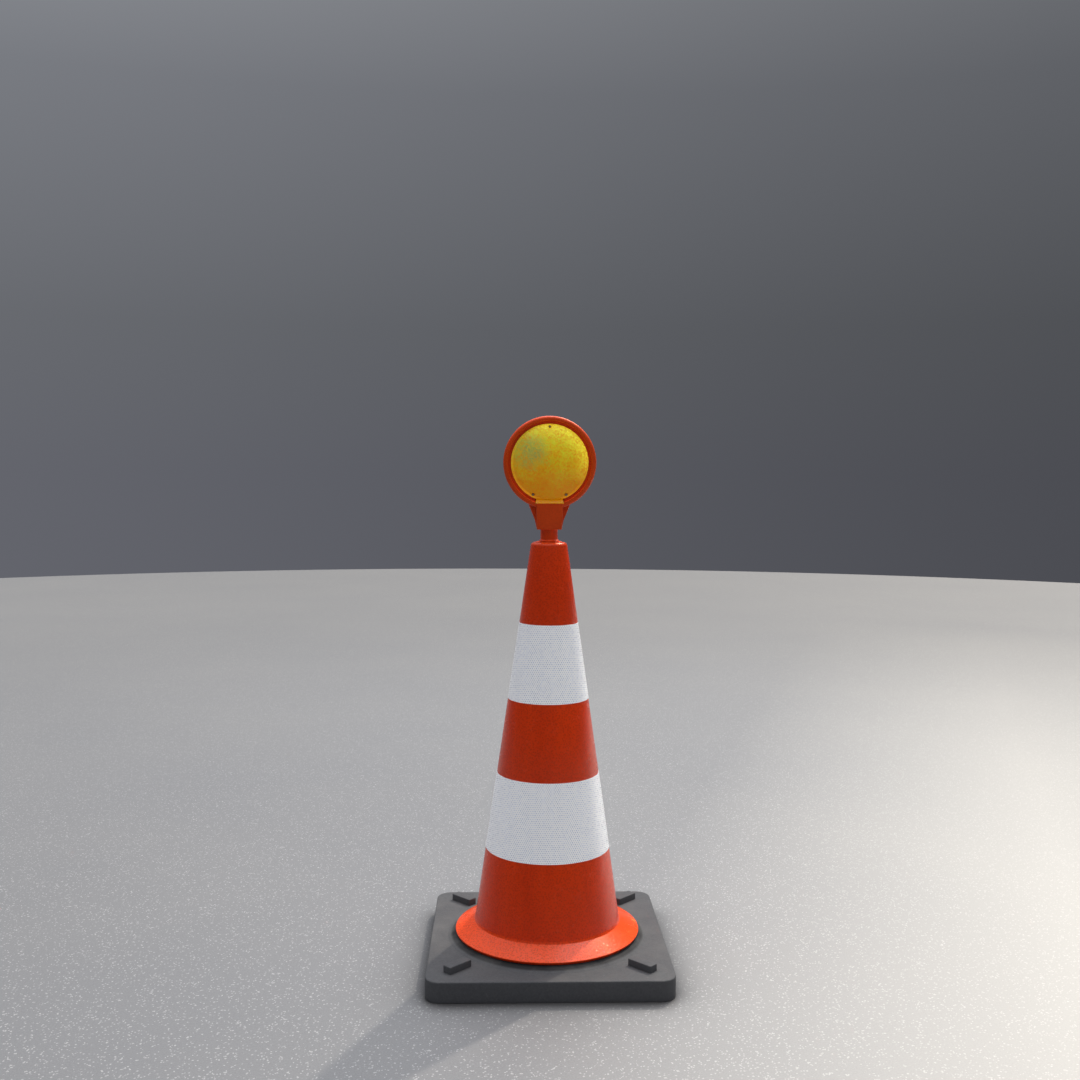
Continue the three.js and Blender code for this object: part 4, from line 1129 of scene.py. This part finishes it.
world = bpy.data.worlds.new("studio")
bpy.context.scene.world = world
world.use_nodes = True
sky = Nodes(world.node_tree)
ray = sky.node("ShaderNodeSeparateXYZ", {
    0: sky.node("ShaderNodeTexCoord").outputs["Generated"],
}).outputs
ramp = sky.node("ShaderNodeValToRGB", {"Fac": ray["Z"]})
stops = [(0.0, (0.100, 0.103, 0.120)), (0.12, (0.110, 0.115, 0.128)), (0.30, (0.155, 0.162, 0.180)),
         (0.45, (0.25, 0.26, 0.28)), (0.7, (0.78, 0.80, 0.85)), (1.0, (1.36, 1.38, 1.44))]
while len(ramp.color_ramp.elements) < len(stops):
    ramp.color_ramp.elements.new(0.5)
for element, (position, colour) in zip(ramp.color_ramp.elements, stops):
    element.position = position
    element.color = (*colour, 1)
background = next(n for n in sky.tree.nodes if n.type == "BACKGROUND")
sky.tree.links.new(ramp.outputs["Color"], background.inputs["Color"])
# The far wall is a little brighter towards the left.
sideways = sky.times(sky.times(ray["X"], sky.math("MAXIMUM", ray["Y"], 0.0)), -0.7)
sky.tree.links.new(sky.math("ADD", sideways, 1.0), background.inputs["Strength"])


def light(name, kind, energy, colour, position, target=(0, 0, 0), **settings):
    data = bpy.data.lights.new(name, kind)
    data.energy = energy
    data.color = colour
    for key, value in settings.items():
        setattr(data, key, value)
    obj = bpy.data.objects.new(name, data)
    obj.location = position
    obj.rotation_euler = (Vector(target) - Vector(position)).to_track_quat("-Z", "Y").to_euler()
    bpy.context.scene.collection.objects.link(obj)
    return obj


def sunlight(name, strength, colour):
    return light(name, "SUN", strength, colour, SUN_POSITION, angle=math.radians(1.6))


def light_only(lamp, pieces):
    """Lets a lamp fall on some objects alone and returns their collection."""
    chosen = bpy.data.collections.new(f"lit_by_{lamp.name}")
    for piece in pieces:
        chosen.objects.link(piece)
    lamp.light_linking.receiver_collection = chosen
    return chosen


# The floor, the base and the film would be too bright under all the suns, so each gets fewer.
SUN_POSITION = (3.66, 5.60, 7.43)
FILM = ("upper_film_sleeve", "lower_film_sleeve")
solids = [obj for obj in bpy.context.scene.collection.objects if obj.type == "MESH"]
sunlight("sun", 1.4, (1.0, 0.90, 0.76))
light_only(sunlight("close_sun", 1.9, (1.0, 0.86, 0.52)),
           [obj for obj in solids if obj.name not in ("floor_disc", "ballast_base", *FILM)])
light_only(sunlight("film_sun", 0.8, (1.0, 0.92, 0.80)), [obj for obj in solids if obj.name in FILM])

light("softbox", "AREA", 190, (0.96, 0.98, 1.0), (0.8, 2.2, 4.8), (0, 0, 0.3), shape="DISK", size=4.5)

# A low warm light gives the floor a sheen towards the right; it leaves the object alone.
sheen = light("floor_sheen", "SUN", 1.9, (1.0, 0.94, 0.84), (8.6, 5.0, 4.6), angle=math.radians(20))
sheen.light_linking.blocker_collection = light_only(sheen, [floor])


def swing(a, b, degrees):
    """Turns two axes in their own plane, the first towards the second."""
    c, s = math.cos(math.radians(degrees)), math.sin(math.radians(degrees))
    return a * c + b * s, b * c - a * s


CAMERA_POSITION = (-0.10155, -2.80282, 1.16422)
camera_data = bpy.data.cameras.new("camera")
camera_data.sensor_width = 36
camera_data.lens = 39.193
camera = bpy.data.objects.new("camera", camera_data)
bpy.context.scene.collection.objects.link(camera)
across, ahead, upward = Vector((1, 0, 0)), Vector((0, 1, 0)), Vector((0, 0, 1))
# Heading, tilt downwards and roll, in degrees.
ahead, across = swing(ahead, across, 1.634)
upward, ahead = swing(upward, ahead, 3.255)
across, upward = swing(across, upward, 0.283)
basis = Matrix((across, upward, -ahead)).transposed().to_4x4()
camera.matrix_world = Matrix.Translation(CAMERA_POSITION) @ basis
bpy.context.scene.camera = camera

view = bpy.context.scene.view_settings
view.view_transform = "Standard"
view.look = "None"
view.exposure = 0.0

bpy.context.view_layer.update()
